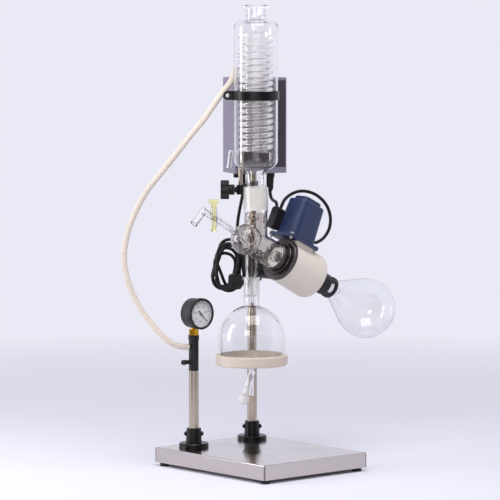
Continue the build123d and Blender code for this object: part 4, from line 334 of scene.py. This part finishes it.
# Each kind of division has its inner radius and its width; all end on the arc
long_tick, middle_tick, short_tick = (0.0195, 0.0007), (0.0208, 0.0004), (0.0218, 0.00025)
arc_radius, arc_width, arc_steps = 0.0245, 0.0003, 90
strokes = []
for i in range(divisions + 1):
    angle = math.radians(zero_angle + sweep * i / divisions)
    reach = Vector((math.cos(angle), math.sin(angle)))
    inner, width = long_tick if i % 10 == 0 else middle_tick if i % 5 == 0 else short_tick
    strokes.append((tuple(reach * inner), tuple(reach * arc_radius), width))
arc = [math.radians(zero_angle + sweep * i / arc_steps) for i in range(arc_steps + 1)]
for pair in zip(arc, arc[1:]):
    begin, end = [(arc_radius * math.cos(t), arc_radius * math.sin(t)) for t in pair]
    strokes.append((begin, end, arc_width))
solid("dial_scale", *bars(strokes, dial_middle, east, upward, print_thick), ink, "stand")


def lettering(name, words, spot, right, up, size, material, body):
    """Printed figures, centred on a spot of a face."""
    text = bpy.data.curves.new(name, "FONT")
    text.body, text.size, text.extrude = words, size, print_thick
    text.align_x, text.align_y = "CENTER", "CENTER"
    text.materials.append(material)
    piece = bpy.data.objects.new(name, text)
    facing = Matrix((right, up, right.cross(up))).transposed().to_4x4()
    piece.matrix_world = Matrix.Translation(spot) @ facing
    bpy.context.collection.objects.link(piece)
    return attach(piece, body)


figures = ("0", "-0.02", "-0.04", "-0.06", "-0.08", "-0.1")
figure_radius, figure_size = 0.0155, 0.0042
unit_drop, unit_size = 0.0165, 0.005
for i, figure in enumerate(figures):
    angle = math.radians(zero_angle + sweep * i / (len(figures) - 1))
    spot = dial_middle + (east * math.cos(angle) + upward * math.sin(angle)) * figure_radius
    lettering(f"dial_figure_{i}", figure, spot, east, upward, figure_size, ink, "stand")
lettering("dial_unit", "MPa", dial_middle - upward * unit_drop, east, upward, unit_size, ink, "stand")

# Control box: folded steel with a fine-grained grey-violet paint, a dark foil on the panel set into its
# front, and a smoked window over the figures. The paint's grain keeps its shine low and even.
box_paint, tree = start("grey_violet_paint")
place = add(tree, "ShaderNodeTexCoord")
grain = add(tree, "ShaderNodeTexNoise", {"Vector": place.outputs["Object"], "Scale": 1000 / 2, "Detail": 2})
cloud = add(tree, "ShaderNodeTexNoise", {
    "Vector": place.outputs["Object"], "Scale": 1000 / 60, "Detail": 2})
tone = add(tree, "ShaderNodeMixRGB", {
    "Fac": cloud.outputs["Fac"], "Color1": linear("#7F7889"), "Color2": linear("#8B8498")})
relief = add(tree, "ShaderNodeBump", {"Strength": 0.2, "Distance": 0.0004, "Height": grain.outputs["Fac"]})
shader = add(tree, "ShaderNodeBsdfPrincipled", {
    "Base Color": tone.outputs[0], "Roughness": 0.48, "IOR": 1.5, "Normal": relief.outputs[0]})
add(tree, "ShaderNodeOutputMaterial", {"Surface": shader.outputs[0]})
dress(box_paint, "box_shell")

# Printed polyester foil: darker than the paint, with a fine tooth that spreads the light
foil, tree = start("dark_panel_foil")
place = add(tree, "ShaderNodeTexCoord")
grain = add(tree, "ShaderNodeTexNoise", {
    "Vector": place.outputs["Object"], "Scale": 1000 / 1.5, "Detail": 2})
cloud = add(tree, "ShaderNodeTexNoise", {
    "Vector": place.outputs["Object"], "Scale": 1000 / 80, "Detail": 1})
tone = add(tree, "ShaderNodeMixRGB", {
    "Fac": cloud.outputs["Fac"], "Color1": linear("#362E37"), "Color2": linear("#423A44")})
relief = add(tree, "ShaderNodeBump", {"Strength": 0.15, "Distance": 0.0003, "Height": grain.outputs["Fac"]})
shader = add(tree, "ShaderNodeBsdfPrincipled", {
    "Base Color": tone.outputs[0], "Roughness": 0.5, "IOR": 1.57, "Normal": relief.outputs[0]})
add(tree, "ShaderNodeOutputMaterial", {"Surface": shader.outputs[0]})
dress(foil, "box_panel")

# Smoked acrylic: nearly black and polished, dulled a little by wiping
smoked, tree = start("smoked_acrylic")
place = add(tree, "ShaderNodeTexCoord")
wipe = add(tree, "ShaderNodeTexNoise", {"Vector": place.outputs["Object"], "Scale": 1000 / 15, "Detail": 3})
gloss = add(tree, "ShaderNodeMapRange", {"Value": wipe.outputs["Fac"], "To Min": 0.05, "To Max": 0.16})
shader = add(tree, "ShaderNodeBsdfPrincipled", {
    "Base Color": linear("#121116"), "Roughness": gloss.outputs[0], "IOR": 1.49})
add(tree, "ShaderNodeOutputMaterial", {"Surface": shader.outputs[0]})
dress(smoked, "display_window")

# Circuit board inside the box: green lacquer over paler tracks
board, tree = start("lacquered_circuit_board")
place = add(tree, "ShaderNodeTexCoord")
tracks = add(tree, "ShaderNodeTexVoronoi", {
    "Vector": place.outputs["Object"], "Scale": 1000 / 9}, distance="MANHATTAN")
tone = add(tree, "ShaderNodeMixRGB", {
    "Fac": tracks.outputs["Distance"], "Color1": linear("#1D5A38"), "Color2": linear("#3B7D52")})
shader = add(tree, "ShaderNodeBsdfPrincipled", {
    "Base Color": tone.outputs[0], "Roughness": 0.35, "IOR": 1.5})
add(tree, "ShaderNodeOutputMaterial", {"Surface": shader.outputs[0]})
dress(board, "control_board")

# Marks screen printed on the foil in an opaque off-white: a scale round the speed knob, and a bar and a ring
# for the switch
white_ink, tree = start("white_screen_ink")
place = add(tree, "ShaderNodeTexCoord")
cover = add(tree, "ShaderNodeTexNoise", {"Vector": place.outputs["Object"], "Scale": 1000 / 2, "Detail": 2})
tone = add(tree, "ShaderNodeMixRGB", {
    "Fac": cover.outputs["Fac"], "Color1": linear("#D6D4D9"), "Color2": linear("#E6E4E8")})
shader = add(tree, "ShaderNodeBsdfPrincipled", {
    "Base Color": tone.outputs[0], "Roughness": 0.5, "IOR": 1.5})
add(tree, "ShaderNodeOutputMaterial", {"Surface": shader.outputs[0]})
panel_right = Vector((0.9323, -0.3616, 0))
box_foot = Vector((0.09559, 0.12683, 0.617))
panel_back, panel_forward = Vector((0.3616, 0.9323, 0)), 0.0388
panel_foot = box_foot - panel_back * panel_forward
knob_spot, knob_reach = (0.026, 0.084), 0.0145
switch_spot, switch_reach = (0.026, 0.036), 0.0145
long_mark, short_mark, mark_width = 0.004, 0.0025, 0.0007
speed_marks, switch_mark, ring_steps = 11, 0.002, 18
strokes = []
for i in range(speed_marks):
    angle = math.radians(zero_angle + sweep * i / (speed_marks - 1))
    reach = Vector((math.cos(angle), math.sin(angle)))
    length = long_mark if i % 5 == 0 else short_mark
    ends = [Vector(knob_spot) + reach * r for r in (knob_reach, knob_reach + length)]
    strokes.append((tuple(ends[0]), tuple(ends[1]), mark_width))
across_switch, switch_height = switch_spot
bar, ring_middle = switch_height + switch_reach, switch_height - switch_reach
strokes.append(((across_switch, bar - switch_mark), (across_switch, bar + switch_mark), mark_width))
ring = [math.radians(360 / ring_steps * i) for i in range(ring_steps + 1)]
for pair in zip(ring, ring[1:]):
    begin, end = [
        (across_switch + switch_mark * math.cos(t), ring_middle + switch_mark * math.sin(t)) for t in pair]
    strokes.append((begin, end, mark_width))
solid("panel_marks", *bars(strokes, panel_foot, panel_right, upward, print_thick), white_ink, "stand")

# Glassware of the condenser, vapour head, receiver and flask: blown from borosilicate tube, a little wavy,
# and joined by ground joints. Clear glass shows mostly by its bright and dark edges and by what it bends.
# The flask and the tube into it show no joint, because the clip covers it.
glass, tree = start("borosilicate_glass")
place = add(tree, "ShaderNodeTexCoord")
wave = add(tree, "ShaderNodeTexNoise", {"Vector": place.outputs["Object"], "Scale": 1000 / 35, "Detail": 1})
relief = add(tree, "ShaderNodeBump", {"Strength": 0.06, "Distance": 0.001, "Height": wave.outputs["Fac"]})
ray = add(tree, "ShaderNodeLightPath")
through = add(tree, "ShaderNodeMapRange", {
    "Value": ray.outputs["Is Shadow Ray"], "To Min": 1, "To Max": 0.12})
shader = add(tree, "ShaderNodeBsdfPrincipled", {
    "Base Color": linear("#FCFCFD"), "Roughness": 0, "IOR": 1.47, "Transmission Weight": 1,
    "Alpha": through.outputs[0], "Normal": relief.outputs[0]})
add(tree, "ShaderNodeOutputMaterial", {"Surface": shader.outputs[0]})
dress(glass, "vapour_tube", "flask", "condenser_stopper")

# The same glass with its joints frosted to a soft grey-white, and the hand-blown head greyer and crinkled
jointed, tree = start("borosilicate_with_ground_joints")
place = add(tree, "ShaderNodeTexCoord")
axes = add(tree, "ShaderNodeSeparateXYZ", {"Vector": place.outputs["Object"]})
# Lowest and highest points of the joints and of the head between them
receiver_joint, condenser_joint, blown_head = (0.366, 0.404), (0.545, 0.594), (0.412, 0.54)
band_edge = 0.001
bands = []
for low, high in (receiver_joint, condenser_joint, blown_head):
    over = add(tree, "ShaderNodeMapRange", {
        "Value": axes.outputs["Z"], "From Min": low - band_edge, "From Max": low + band_edge})
    under = add(tree, "ShaderNodeMapRange", {
        "Value": axes.outputs["Z"], "From Min": high + band_edge, "From Max": high - band_edge})
    bands.append(add(tree, "ShaderNodeMath", {
        0: over.outputs[0], 1: under.outputs[0]}, operation="MULTIPLY"))
# Grinding shows less on the receiver's joint, which is wet, and the feed cock stands clear of the other one
wet_share, head_left, head_edge = 0.35, -0.05, 0.01
wet = add(tree, "ShaderNodeMath", {0: bands[0].outputs[0], 1: wet_share}, operation="MULTIPLY")
either = add(tree, "ShaderNodeMath", {0: wet.outputs[0], 1: bands[1].outputs[0]}, operation="ADD")
beside = add(tree, "ShaderNodeMapRange", {
    "Value": axes.outputs["X"], "From Min": head_left, "From Max": head_left + head_edge})
frost = add(tree, "ShaderNodeMath", {0: either.outputs[0], 1: beside.outputs[0]}, operation="MULTIPLY")
# Tube is drawn straight and hardly wavy; the head is blown and joined by hand, with waves about 9 mm long
# and far higher than the tube's
blown_height = 110
wave = add(tree, "ShaderNodeTexNoise", {"Vector": place.outputs["Object"], "Scale": 1000 / 35, "Detail": 1})
blown = add(tree, "ShaderNodeTexNoise", {"Vector": place.outputs["Object"], "Scale": 1000 / 9, "Detail": 1})
by_hand = add(tree, "ShaderNodeMath", {0: bands[2].outputs[0], 1: beside.outputs[0]}, operation="MULTIPLY")
swell = add(tree, "ShaderNodeMath", {0: by_hand.outputs[0], 1: blown_height}, operation="MULTIPLY")
waves = add(tree, "ShaderNodeMath", {
    0: blown.outputs["Fac"], 1: swell.outputs[0], 2: wave.outputs["Fac"]}, operation="MULTIPLY_ADD")
relief = add(tree, "ShaderNodeBump", {"Strength": 0.06, "Distance": 0.001, "Height": waves.outputs[0]})
tone = add(tree, "ShaderNodeMixRGB", {
    "Fac": frost.outputs[0], "Color1": linear("#FCFCFD"), "Color2": linear("#FBFAF7")})
tone = add(tree, "ShaderNodeMixRGB", {
    "Fac": by_hand.outputs[0], "Color1": tone.outputs[0], "Color2": linear("#DFDAD7")})
rough = add(tree, "ShaderNodeMapRange", {"Value": frost.outputs[0], "To Min": 0, "To Max": 0.32})
clear = add(tree, "ShaderNodeMapRange", {"Value": frost.outputs[0], "To Min": 1, "To Max": 0.9})
ray = add(tree, "ShaderNodeLightPath")
through = add(tree, "ShaderNodeMapRange", {
    "Value": ray.outputs["Is Shadow Ray"], "To Min": 1, "To Max": 0.12})
shader = add(tree, "ShaderNodeBsdfPrincipled", {
    "Base Color": tone.outputs[0], "Roughness": rough.outputs[0], "IOR": 1.47,
    "Transmission Weight": clear.outputs[0], "Alpha": through.outputs[0], "Normal": relief.outputs[0]})
add(tree, "ShaderNodeOutputMaterial", {"Surface": shader.outputs[0]})
dress(jointed, "condenser_jacket", "vapour_head", "receiver_flask")

# Cooling coil: thin glass tube wound hot on a mandrel and sealed into the jacket. Mist on it and water marks
# in it make it whiter than the jacket.
misted, tree = start("misted_coil_glass")
place = add(tree, "ShaderNodeTexCoord")
mist = add(tree, "ShaderNodeTexNoise", {"Vector": place.outputs["Object"], "Scale": 1000 / 8, "Detail": 4})
rough = add(tree, "ShaderNodeMapRange", {
    "Value": mist.outputs["Fac"], "From Min": 0.35, "From Max": 0.7, "To Min": 0.0, "To Max": 0.12})
clear = add(tree, "ShaderNodeMapRange", {
    "Value": mist.outputs["Fac"], "From Min": 0.35, "From Max": 0.7, "To Min": 0.95, "To Max": 0.84})
ray = add(tree, "ShaderNodeLightPath")
through = add(tree, "ShaderNodeMapRange", {
    "Value": ray.outputs["Is Shadow Ray"], "To Min": 1, "To Max": 0.25})
shader = add(tree, "ShaderNodeBsdfPrincipled", {
    "Base Color": linear("#FAF8F8"), "Roughness": rough.outputs[0], "IOR": 1.47,
    "Transmission Weight": clear.outputs[0], "Alpha": through.outputs[0]})
add(tree, "ShaderNodeOutputMaterial", {"Surface": shader.outputs[0]})
dress(misted, "condenser_coil")

# Cock keys: the feed key is moulded in clear yellow plastic, and the drain key is turned from white PTFE,
# like the seal in the head's neck. The yellow lets the light through and glows.
key_plastic, tree = start("yellow_key_plastic")
place = add(tree, "ShaderNodeTexCoord")
flow = add(tree, "ShaderNodeTexNoise", {"Vector": place.outputs["Object"], "Scale": 1000 / 6, "Detail": 2})
tone = add(tree, "ShaderNodeMixRGB", {
    "Fac": flow.outputs["Fac"], "Color1": linear("#F6EC86"), "Color2": linear("#FCF8D2")})
ray = add(tree, "ShaderNodeLightPath")
through = add(tree, "ShaderNodeMapRange", {
    "Value": ray.outputs["Is Shadow Ray"], "To Min": 1, "To Max": 0.3})
shader = add(tree, "ShaderNodeBsdfPrincipled", {
    "Base Color": tone.outputs[0], "Roughness": 0.04, "IOR": 1.49, "Transmission Weight": 1,
    "Alpha": through.outputs[0]})
add(tree, "ShaderNodeOutputMaterial", {"Surface": shader.outputs[0]})
dress(key_plastic, "feed_key")

# PTFE: a waxy white that light enters a little way
ptfe, tree = start("white_ptfe")
place = add(tree, "ShaderNodeTexCoord")
flow = add(tree, "ShaderNodeTexNoise", {"Vector": place.outputs["Object"], "Scale": 1000 / 10, "Detail": 2})
tone = add(tree, "ShaderNodeMixRGB", {
    "Fac": flow.outputs["Fac"], "Color1": linear("#EFECEA"), "Color2": linear("#F8F6F4")})
shader = add(tree, "ShaderNodeBsdfPrincipled", {
    "Base Color": tone.outputs[0], "Roughness": 0.38, "IOR": 1.38, "Subsurface Weight": 0.3,
    "Subsurface Radius": (0.004, 0.004, 0.004)})
add(tree, "ShaderNodeOutputMaterial", {"Surface": shader.outputs[0]})
dress(ptfe, "drain_key", "vapour_seal")

# Receiver dish: moulded ivory plastic that the receiver stands in. The plastic is warm and satin, with soft
# shadows because light enters it.
ivory, tree = start("ivory_plastic")
place = add(tree, "ShaderNodeTexCoord")
flow = add(tree, "ShaderNodeTexNoise", {"Vector": place.outputs["Object"], "Scale": 1000 / 30, "Detail": 3})
tone = add(tree, "ShaderNodeMixRGB", {
    "Fac": flow.outputs["Fac"], "Color1": linear("#CDBFB0"), "Color2": linear("#D7CABC")})
shader = add(tree, "ShaderNodeBsdfPrincipled", {
    "Base Color": tone.outputs[0], "Roughness": 0.45, "IOR": 1.5, "Subsurface Weight": 0.1,
    "Subsurface Radius": (0.003, 0.002, 0.001)})
add(tree, "ShaderNodeOutputMaterial", {"Surface": shader.outputs[0]})
dress(ivory, "receiver_dish")

# Drive head: a turned end flange and neck ring on a cast drum that is clamped to the mast.
# The dark anodised aluminium keeps a metal's shine, in grey-brown.
anodised, tree = start("dark_anodised_aluminium")
place = add(tree, "ShaderNodeTexCoord")
turned = add(tree, "ShaderNodeTexNoise", {
    "Vector": place.outputs["Object"], "Scale": 1000 / 5, "Detail": 3})
tone = add(tree, "ShaderNodeMixRGB", {
    "Fac": turned.outputs["Fac"], "Color1": linear("#4A4446"), "Color2": linear("#625B5D")})
gloss = add(tree, "ShaderNodeMapRange", {"Value": turned.outputs["Fac"], "To Min": 0.24, "To Max": 0.4})
shader = add(tree, "ShaderNodeBsdfPrincipled", {
    "Base Color": tone.outputs[0], "Metallic": 1, "Roughness": gloss.outputs[0]})
add(tree, "ShaderNodeOutputMaterial", {"Surface": shader.outputs[0]})
dress(anodised, "end_flange", "neck_ring")

# Inside it the spindle and its bearings: plain stainless off the lathe, pale and softly bright
turned_steel, tree = start("turned_stainless")
place = add(tree, "ShaderNodeTexCoord")
cuts = add(tree, "ShaderNodeTexNoise", {"Vector": place.outputs["Object"], "Scale": 1000 / 4, "Detail": 3})
tone = add(tree, "ShaderNodeMixRGB", {
    "Fac": cuts.outputs["Fac"], "Color1": linear("#D3CAC3"), "Color2": linear("#E6DED7")})
gloss = add(tree, "ShaderNodeMapRange", {"Value": cuts.outputs["Fac"], "To Min": 0.3, "To Max": 0.45})
shader = add(tree, "ShaderNodeBsdfPrincipled", {
    "Base Color": tone.outputs[0], "Metallic": 1, "Roughness": gloss.outputs[0]})
add(tree, "ShaderNodeOutputMaterial", {"Surface": shader.outputs[0]})
dress(turned_steel, "spindle", "spindle_bearings")

# White stoving enamel on the drum: warm white, with a slight peel that softens its shine
white_paint, tree = start("white_enamel_paint")
place = add(tree, "ShaderNodeTexCoord")
peel = add(tree, "ShaderNodeTexNoise", {"Vector": place.outputs["Object"], "Scale": 1000 / 4, "Detail": 2})
cloud = add(tree, "ShaderNodeTexNoise", {
    "Vector": place.outputs["Object"], "Scale": 1000 / 45, "Detail": 2})
tone = add(tree, "ShaderNodeMixRGB", {
    "Fac": cloud.outputs["Fac"], "Color1": linear("#DAD2C5"), "Color2": linear("#E3DBCF")})
relief = add(tree, "ShaderNodeBump", {"Strength": 0.08, "Distance": 0.0004, "Height": peel.outputs["Fac"]})
shader = add(tree, "ShaderNodeBsdfPrincipled", {
    "Base Color": tone.outputs[0], "Roughness": 0.36, "IOR": 1.5, "Normal": relief.outputs[0]})
add(tree, "ShaderNodeOutputMaterial", {"Surface": shader.outputs[0]})
dress(white_paint, "drum_housing")

# Motor: a cast cover and flange in navy enamel, screwed on the drum over a laminated core.
# The enamel is deep blue with a satin shine and a slight peel.
navy, tree = start("navy_enamel")
place = add(tree, "ShaderNodeTexCoord")
peel = add(tree, "ShaderNodeTexNoise", {"Vector": place.outputs["Object"], "Scale": 1000 / 3, "Detail": 2})
cloud = add(tree, "ShaderNodeTexNoise", {
    "Vector": place.outputs["Object"], "Scale": 1000 / 35, "Detail": 2})
tone = add(tree, "ShaderNodeMixRGB", {
    "Fac": cloud.outputs["Fac"], "Color1": linear("#202D50"), "Color2": linear("#2A385E")})
relief = add(tree, "ShaderNodeBump", {"Strength": 0.14, "Distance": 0.0004, "Height": peel.outputs["Fac"]})
shader = add(tree, "ShaderNodeBsdfPrincipled", {
    "Base Color": tone.outputs[0], "Roughness": 0.42, "IOR": 1.5, "Normal": relief.outputs[0]})
add(tree, "ShaderNodeOutputMaterial", {"Surface": shader.outputs[0]})
dress(navy, "motor_housing", "motor_flange")

# Core of punched steel sheets: grey and dull
core, tree = start("laminated_core_steel")
place = add(tree, "ShaderNodeTexCoord")
stack = add(tree, "ShaderNodeTexNoise", {"Vector": place.outputs["Object"], "Scale": 1000 / 2, "Detail": 2})
tone = add(tree, "ShaderNodeMixRGB", {
    "Fac": stack.outputs["Fac"], "Color1": linear("#7B7672"), "Color2": linear("#98928D")})
shader = add(tree, "ShaderNodeBsdfPrincipled", {
    "Base Color": tone.outputs[0], "Metallic": 1, "Roughness": 0.45})
add(tree, "ShaderNodeOutputMaterial", {"Surface": shader.outputs[0]})
dress(core, "motor_stator", "motor_rotor")

# Leads: black rubber-sheathed flex from the box to the terminal box, and on in a loop over the motor.
# The sheath is nearly black, with a thin soft line of light along it.
lead_radius = 0.0035
sheath, tree = start("black_cord_sheath")
place = add(tree, "ShaderNodeTexCoord")
lay = add(tree, "ShaderNodeTexNoise", {"Vector": place.outputs["Object"], "Scale": 1000 / 10, "Detail": 3})
tone = add(tree, "ShaderNodeMixRGB", {
    "Fac": lay.outputs["Fac"], "Color1": linear("#0B0A0B"), "Color2": linear("#181618")})
gloss = add(tree, "ShaderNodeMapRange", {"Value": lay.outputs["Fac"], "To Min": 0.34, "To Max": 0.5})
shader = add(tree, "ShaderNodeBsdfPrincipled", {
    "Base Color": tone.outputs[0], "Roughness": gloss.outputs[0], "IOR": 1.52, "Specular IOR Level": 0.3})
add(tree, "ShaderNodeOutputMaterial", {"Surface": shader.outputs[0]})


def flex(name, route, radius, material):
    """A round cord laid along its route, riding on the stand."""
    curve = bpy.data.curves.new(name, "CURVE")
    curve.dimensions = "3D"
    curve.bevel_depth, curve.bevel_resolution, curve.resolution_u = radius, 5, 8
    curve.use_fill_caps = True
    spline = curve.splines.new("NURBS")
    spline.points.add(len(route) - 1)
    for point, spot in zip(spline.points, route):
        point.co = (*spot, 1)
    spline.order_u, spline.use_endpoint_u = 3, True
    curve.materials.append(material)
    piece = bpy.data.objects.new(name, curve)
    bpy.context.collection.objects.link(piece)
    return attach(piece, "stand")


supply_route = [
    (0.1213, 0.1061, 0.577), (0.121, 0.105, 0.568), (0.1185, 0.098, 0.5605), (0.1135, 0.086, 0.557),
    (0.108, 0.074, 0.5565), (0.1035, 0.0645, 0.5535), (0.099, 0.059, 0.5445),
]
supply = flex("supply_flex", supply_route, lead_radius, sheath)
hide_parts("supply_lead")

motor_route = [
    (0.1068, 0.057, 0.5402), (0.113, 0.0575, 0.5515), (0.123, 0.06, 0.562), (0.139, 0.0595, 0.5715),
    (0.16, 0.054, 0.5785), (0.184, 0.045, 0.575), (0.205, 0.038, 0.563), (0.2215, 0.0325, 0.5435),
    (0.229, 0.03, 0.519), (0.2255, 0.0295, 0.4955), (0.212, 0.03, 0.4775), (0.195, 0.03, 0.4685),
    (0.182, 0.03, 0.466), (0.1696, 0.03, 0.4684),
]
motor_flex = flex("motor_flex", motor_route, lead_radius, sheath)
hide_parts("motor_lead")

# Vacuum hose: soft silicone, ivory and a little translucent, pushed over the condenser's nozzle and the
# manifold's, and hanging in one long bow between them. The silicone looks soft because light enters it.
hose_radius = 0.0065
silicone, tree = start("ivory_silicone")
place = add(tree, "ShaderNodeTexCoord")
lay = add(tree, "ShaderNodeTexNoise", {"Vector": place.outputs["Object"], "Scale": 1000 / 40, "Detail": 3})
tone = add(tree, "ShaderNodeMixRGB", {
    "Fac": lay.outputs["Fac"], "Color1": linear("#DDD2C4"), "Color2": linear("#E6DCD0")})
shader = add(tree, "ShaderNodeBsdfPrincipled", {
    "Base Color": tone.outputs[0], "Roughness": 0.42, "IOR": 1.41, "Subsurface Weight": 0.4,
    "Subsurface Radius": (0.006, 0.005, 0.004)})
add(tree, "ShaderNodeOutputMaterial", {"Surface": shader.outputs[0]})
hose_route = [
    (-0.094, 0.125, 0.2545), (-0.109, 0.1255, 0.2555), (-0.124, 0.129, 0.2595), (-0.14, 0.138, 0.2695),
    (-0.159, 0.157, 0.2955), (-0.18, 0.186, 0.343), (-0.196, 0.201, 0.392), (-0.202, 0.208, 0.438),
    (-0.198, 0.206, 0.482), (-0.187, 0.198, 0.526), (-0.165, 0.18, 0.583), (-0.139, 0.159, 0.623),
    (-0.114, 0.138, 0.664), (-0.091, 0.119, 0.703), (-0.066, 0.108, 0.733), (-0.0438, 0.0991, 0.766),
    (-0.0224, 0.0931, 0.794), (-0.0105, 0.09, 0.807), (-0.0016, 0.0881, 0.819), (0.0024, 0.0866, 0.832),
    (0.0033, 0.086, 0.846),
]
hose = flex("vacuum_hose_line", hose_route, hose_radius, silicone)
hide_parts("vacuum_hose")

# Mains cord: black flex from the gland under the box, wound up in an upright hank behind the glass, with its
# moulded plug lying on the front of the hank.
hank_middle = Vector((0.060, 0.171, 0.421))
hank_right, hank_front = Vector((0.7524, -0.6587, 0)), Vector((-0.6587, -0.7524, 0))


def on_hank(x, z, depth):
    """A point of the hank: to the right, up, and towards the front of its middle."""
    return hank_middle + hank_right * x + upward * z + hank_front * depth


mains_route = [
    (0.08496, 0.14919, 0.597), (0.0848, 0.1495, 0.587), (0.0847, 0.1514, 0.575), (0.0846, 0.1574, 0.555),
    (0.0855, 0.166, 0.53), (0.0868, 0.1728, 0.507), (0.0879, 0.1748, 0.491), (0.0885, 0.1747, 0.477),
]
# The turns are loose: each runs down the right, round a fold at the foot, up the left and over a fold at the
# head, and no two folds lie in the same place. These are the folds' middles, head and foot in turn, as
# distances to the right and up.
folds = [
    (0, 0.031), (0.011, -0.035), (-0.005, 0.008), (-0.013, -0.03), (0.002, 0.027), (0, -0.039),
    (-0.008, -0.002), (-0.012, -0.034), (0.005, 0.015), (-0.004, -0.032), (-0.001, 0.02),
]
fold_radius, back_layer, turn_pitch = 0.0226, -0.029, 0.0083
run_points, fold_points = 4, 12
legs = list(zip(folds, folds[1:]))
sides = [math.atan2(end[0] - begin[0], begin[1] - end[1]) for begin, end in legs] + [0]
for i, (begin, end) in enumerate(legs):
    for k in range(run_points):
        share = (k + 0.5) / run_points
        spot = Vector(begin).lerp(Vector(end), share)
        spot += fold_radius * Vector((math.cos(sides[i]), math.sin(sides[i])))
        mains_route.append(tuple(on_hank(*spot, back_layer + turn_pitch * (i + share / 2) / 2)))
    bend = (sides[i] - sides[i + 1]) % (2 * math.pi)
    for k in range(fold_points):
        share = (k + 0.5) / fold_points
        angle = sides[i] - bend * share
        spot = Vector(end) + fold_radius * Vector((math.cos(angle), math.sin(angle)))
        mains_route.append(tuple(on_hank(*spot, back_layer + turn_pitch * (i + 0.5 + share / 2) / 2)))
# The end comes forward and down into the plug
mains_route += [tuple(on_hank(*p)) for p in (
    (0.0216, 0.0155, 0.0128), (0.0215, 0.008, 0.0146), (0.0205, -0.002, 0.0178), (0.0183, -0.013, 0.0218),
    (0.0155, -0.0245, 0.0245))]
mains = flex("mains_flex", mains_route, lead_radius, sheath)
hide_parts("mains_cord", "cord_hank")

# Floor: a pale matt table top under the stand. It fades into the pale room, so that only the contact
# shadows tell where it is.
floor_radius, floor_sides = 2.7, 60
floor_paint, tree = start("pale_table")
place = add(tree, "ShaderNodeTexCoord")
cloud = add(tree, "ShaderNodeTexNoise", {
    "Vector": place.outputs["Object"], "Scale": 1000 / 500, "Detail": 2})
tone = add(tree, "ShaderNodeMixRGB", {
    "Fac": cloud.outputs["Fac"], "Color1": linear("#E9E9F4"), "Color2": linear("#EEEEF8")})
far = add(tree, "ShaderNodeVectorMath", {0: place.outputs["Object"]}, operation="LENGTH")
fade = add(tree, "ShaderNodeMapRange", {"Value": far.outputs["Value"], "From Min": 0.7, "From Max": 2.6})
matt = add(tree, "ShaderNodeBsdfDiffuse", {"Color": tone.outputs[0]})
clear = add(tree, "ShaderNodeBsdfTransparent")
both = add(tree, "ShaderNodeMixShader", {0: fade.outputs[0], 1: matt.outputs[0], 2: clear.outputs[0]})
add(tree, "ShaderNodeOutputMaterial", {"Surface": both.outputs[0]})
floor_mesh = bpy.data.meshes.new("floor")
turns = [math.radians(360 / floor_sides * i) for i in range(floor_sides)]
rim = [(floor_radius * math.cos(t), floor_radius * math.sin(t), 0) for t in turns]
floor_mesh.from_pydata(rim, [], [tuple(range(floor_sides))])
floor_mesh.materials.append(floor_paint)
floor = bpy.data.objects.new("floor", floor_mesh)
bpy.context.collection.objects.link(floor)
floor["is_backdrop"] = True

# Light: a pale room, a tall strip to the left that draws the bright line down the condenser, a wide softbox
# overhead and a weak one beside the camera.
world = bpy.data.worlds.new("pale_room")
bpy.context.scene.world = world
world.use_nodes = True
tree = world.node_tree
tree.nodes.clear()
ray = add(tree, "ShaderNodeLightPath")
seen = add(tree, "ShaderNodeMath", {
    0: ray.outputs["Is Camera Ray"], 1: ray.outputs["Is Glossy Ray"]}, operation="MAXIMUM")
seen = add(tree, "ShaderNodeMath", {
    0: seen.outputs[0], 1: ray.outputs["Is Transmission Ray"]}, operation="MAXIMUM")
room = add(tree, "ShaderNodeMixRGB", {
    "Fac": seen.outputs[0], "Color1": linear("#BDBBC2"), "Color2": linear("#EAEAF6")})
# The near side of the room, which shows only in reflections, has a window between two dark walls
near_side = (-0.66, -0.75, 0)
heading = add(tree, "ShaderNodeTexCoord")
near = add(tree, "ShaderNodeVectorMath", {
    0: heading.outputs["Generated"], 1: near_side}, operation="DOT_PRODUCT")
inside = add(tree, "ShaderNodeMapRange", {
    "Value": near.outputs["Value"], "From Min": 0.15, "From Max": 0.5}, interpolation_type="SMOOTHSTEP")
window = add(tree, "ShaderNodeMapRange", {
    "Value": near.outputs["Value"], "From Min": 0.97, "From Max": 0.93}, interpolation_type="SMOOTHSTEP")
wall = add(tree, "ShaderNodeMath", {0: inside.outputs[0], 1: window.outputs[0]}, operation="MULTIPLY")
dark = add(tree, "ShaderNodeMath", {
    0: wall.outputs[0], 1: ray.outputs["Is Glossy Ray"]}, operation="MULTIPLY")
room = add(tree, "ShaderNodeMixRGB", {
    "Fac": dark.outputs[0], "Color1": room.outputs[0], "Color2": linear("#6E655E")})
back = add(tree, "ShaderNodeBackground", {"Color": room.outputs[0], "Strength": 1})
add(tree, "ShaderNodeOutputWorld", {"Surface": back.outputs[0]})


def softbox(name, spot, target, width, height, power):
    """A rectangular area lamp turned to a target."""
    data = bpy.data.lights.new(name, "AREA")
    data.shape, data.size, data.size_y, data.energy = "RECTANGLE", width, height, power
    lamp = bpy.data.objects.new(name, data)
    lamp.location = spot
    lamp.rotation_euler = (Vector(target) - Vector(spot)).to_track_quat("-Z", "Y").to_euler()
    bpy.context.collection.objects.link(lamp)


softbox("left_strip", (-1.25, 0.95, 0.75), (0.05, 0.05, 0.55), 0.3, 1.3, 9)
softbox("top_box", (-0.3, -0.5, 2.1), (0.05, 0.05, 0.3), 1.3, 1.3, 22)
softbox("front_box", (-1.9, -1.2, 1.3), (0.05, 0.05, 0.45), 0.8, 0.8, 10)

bpy.context.scene.view_settings.view_transform = "Standard"
low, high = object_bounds()
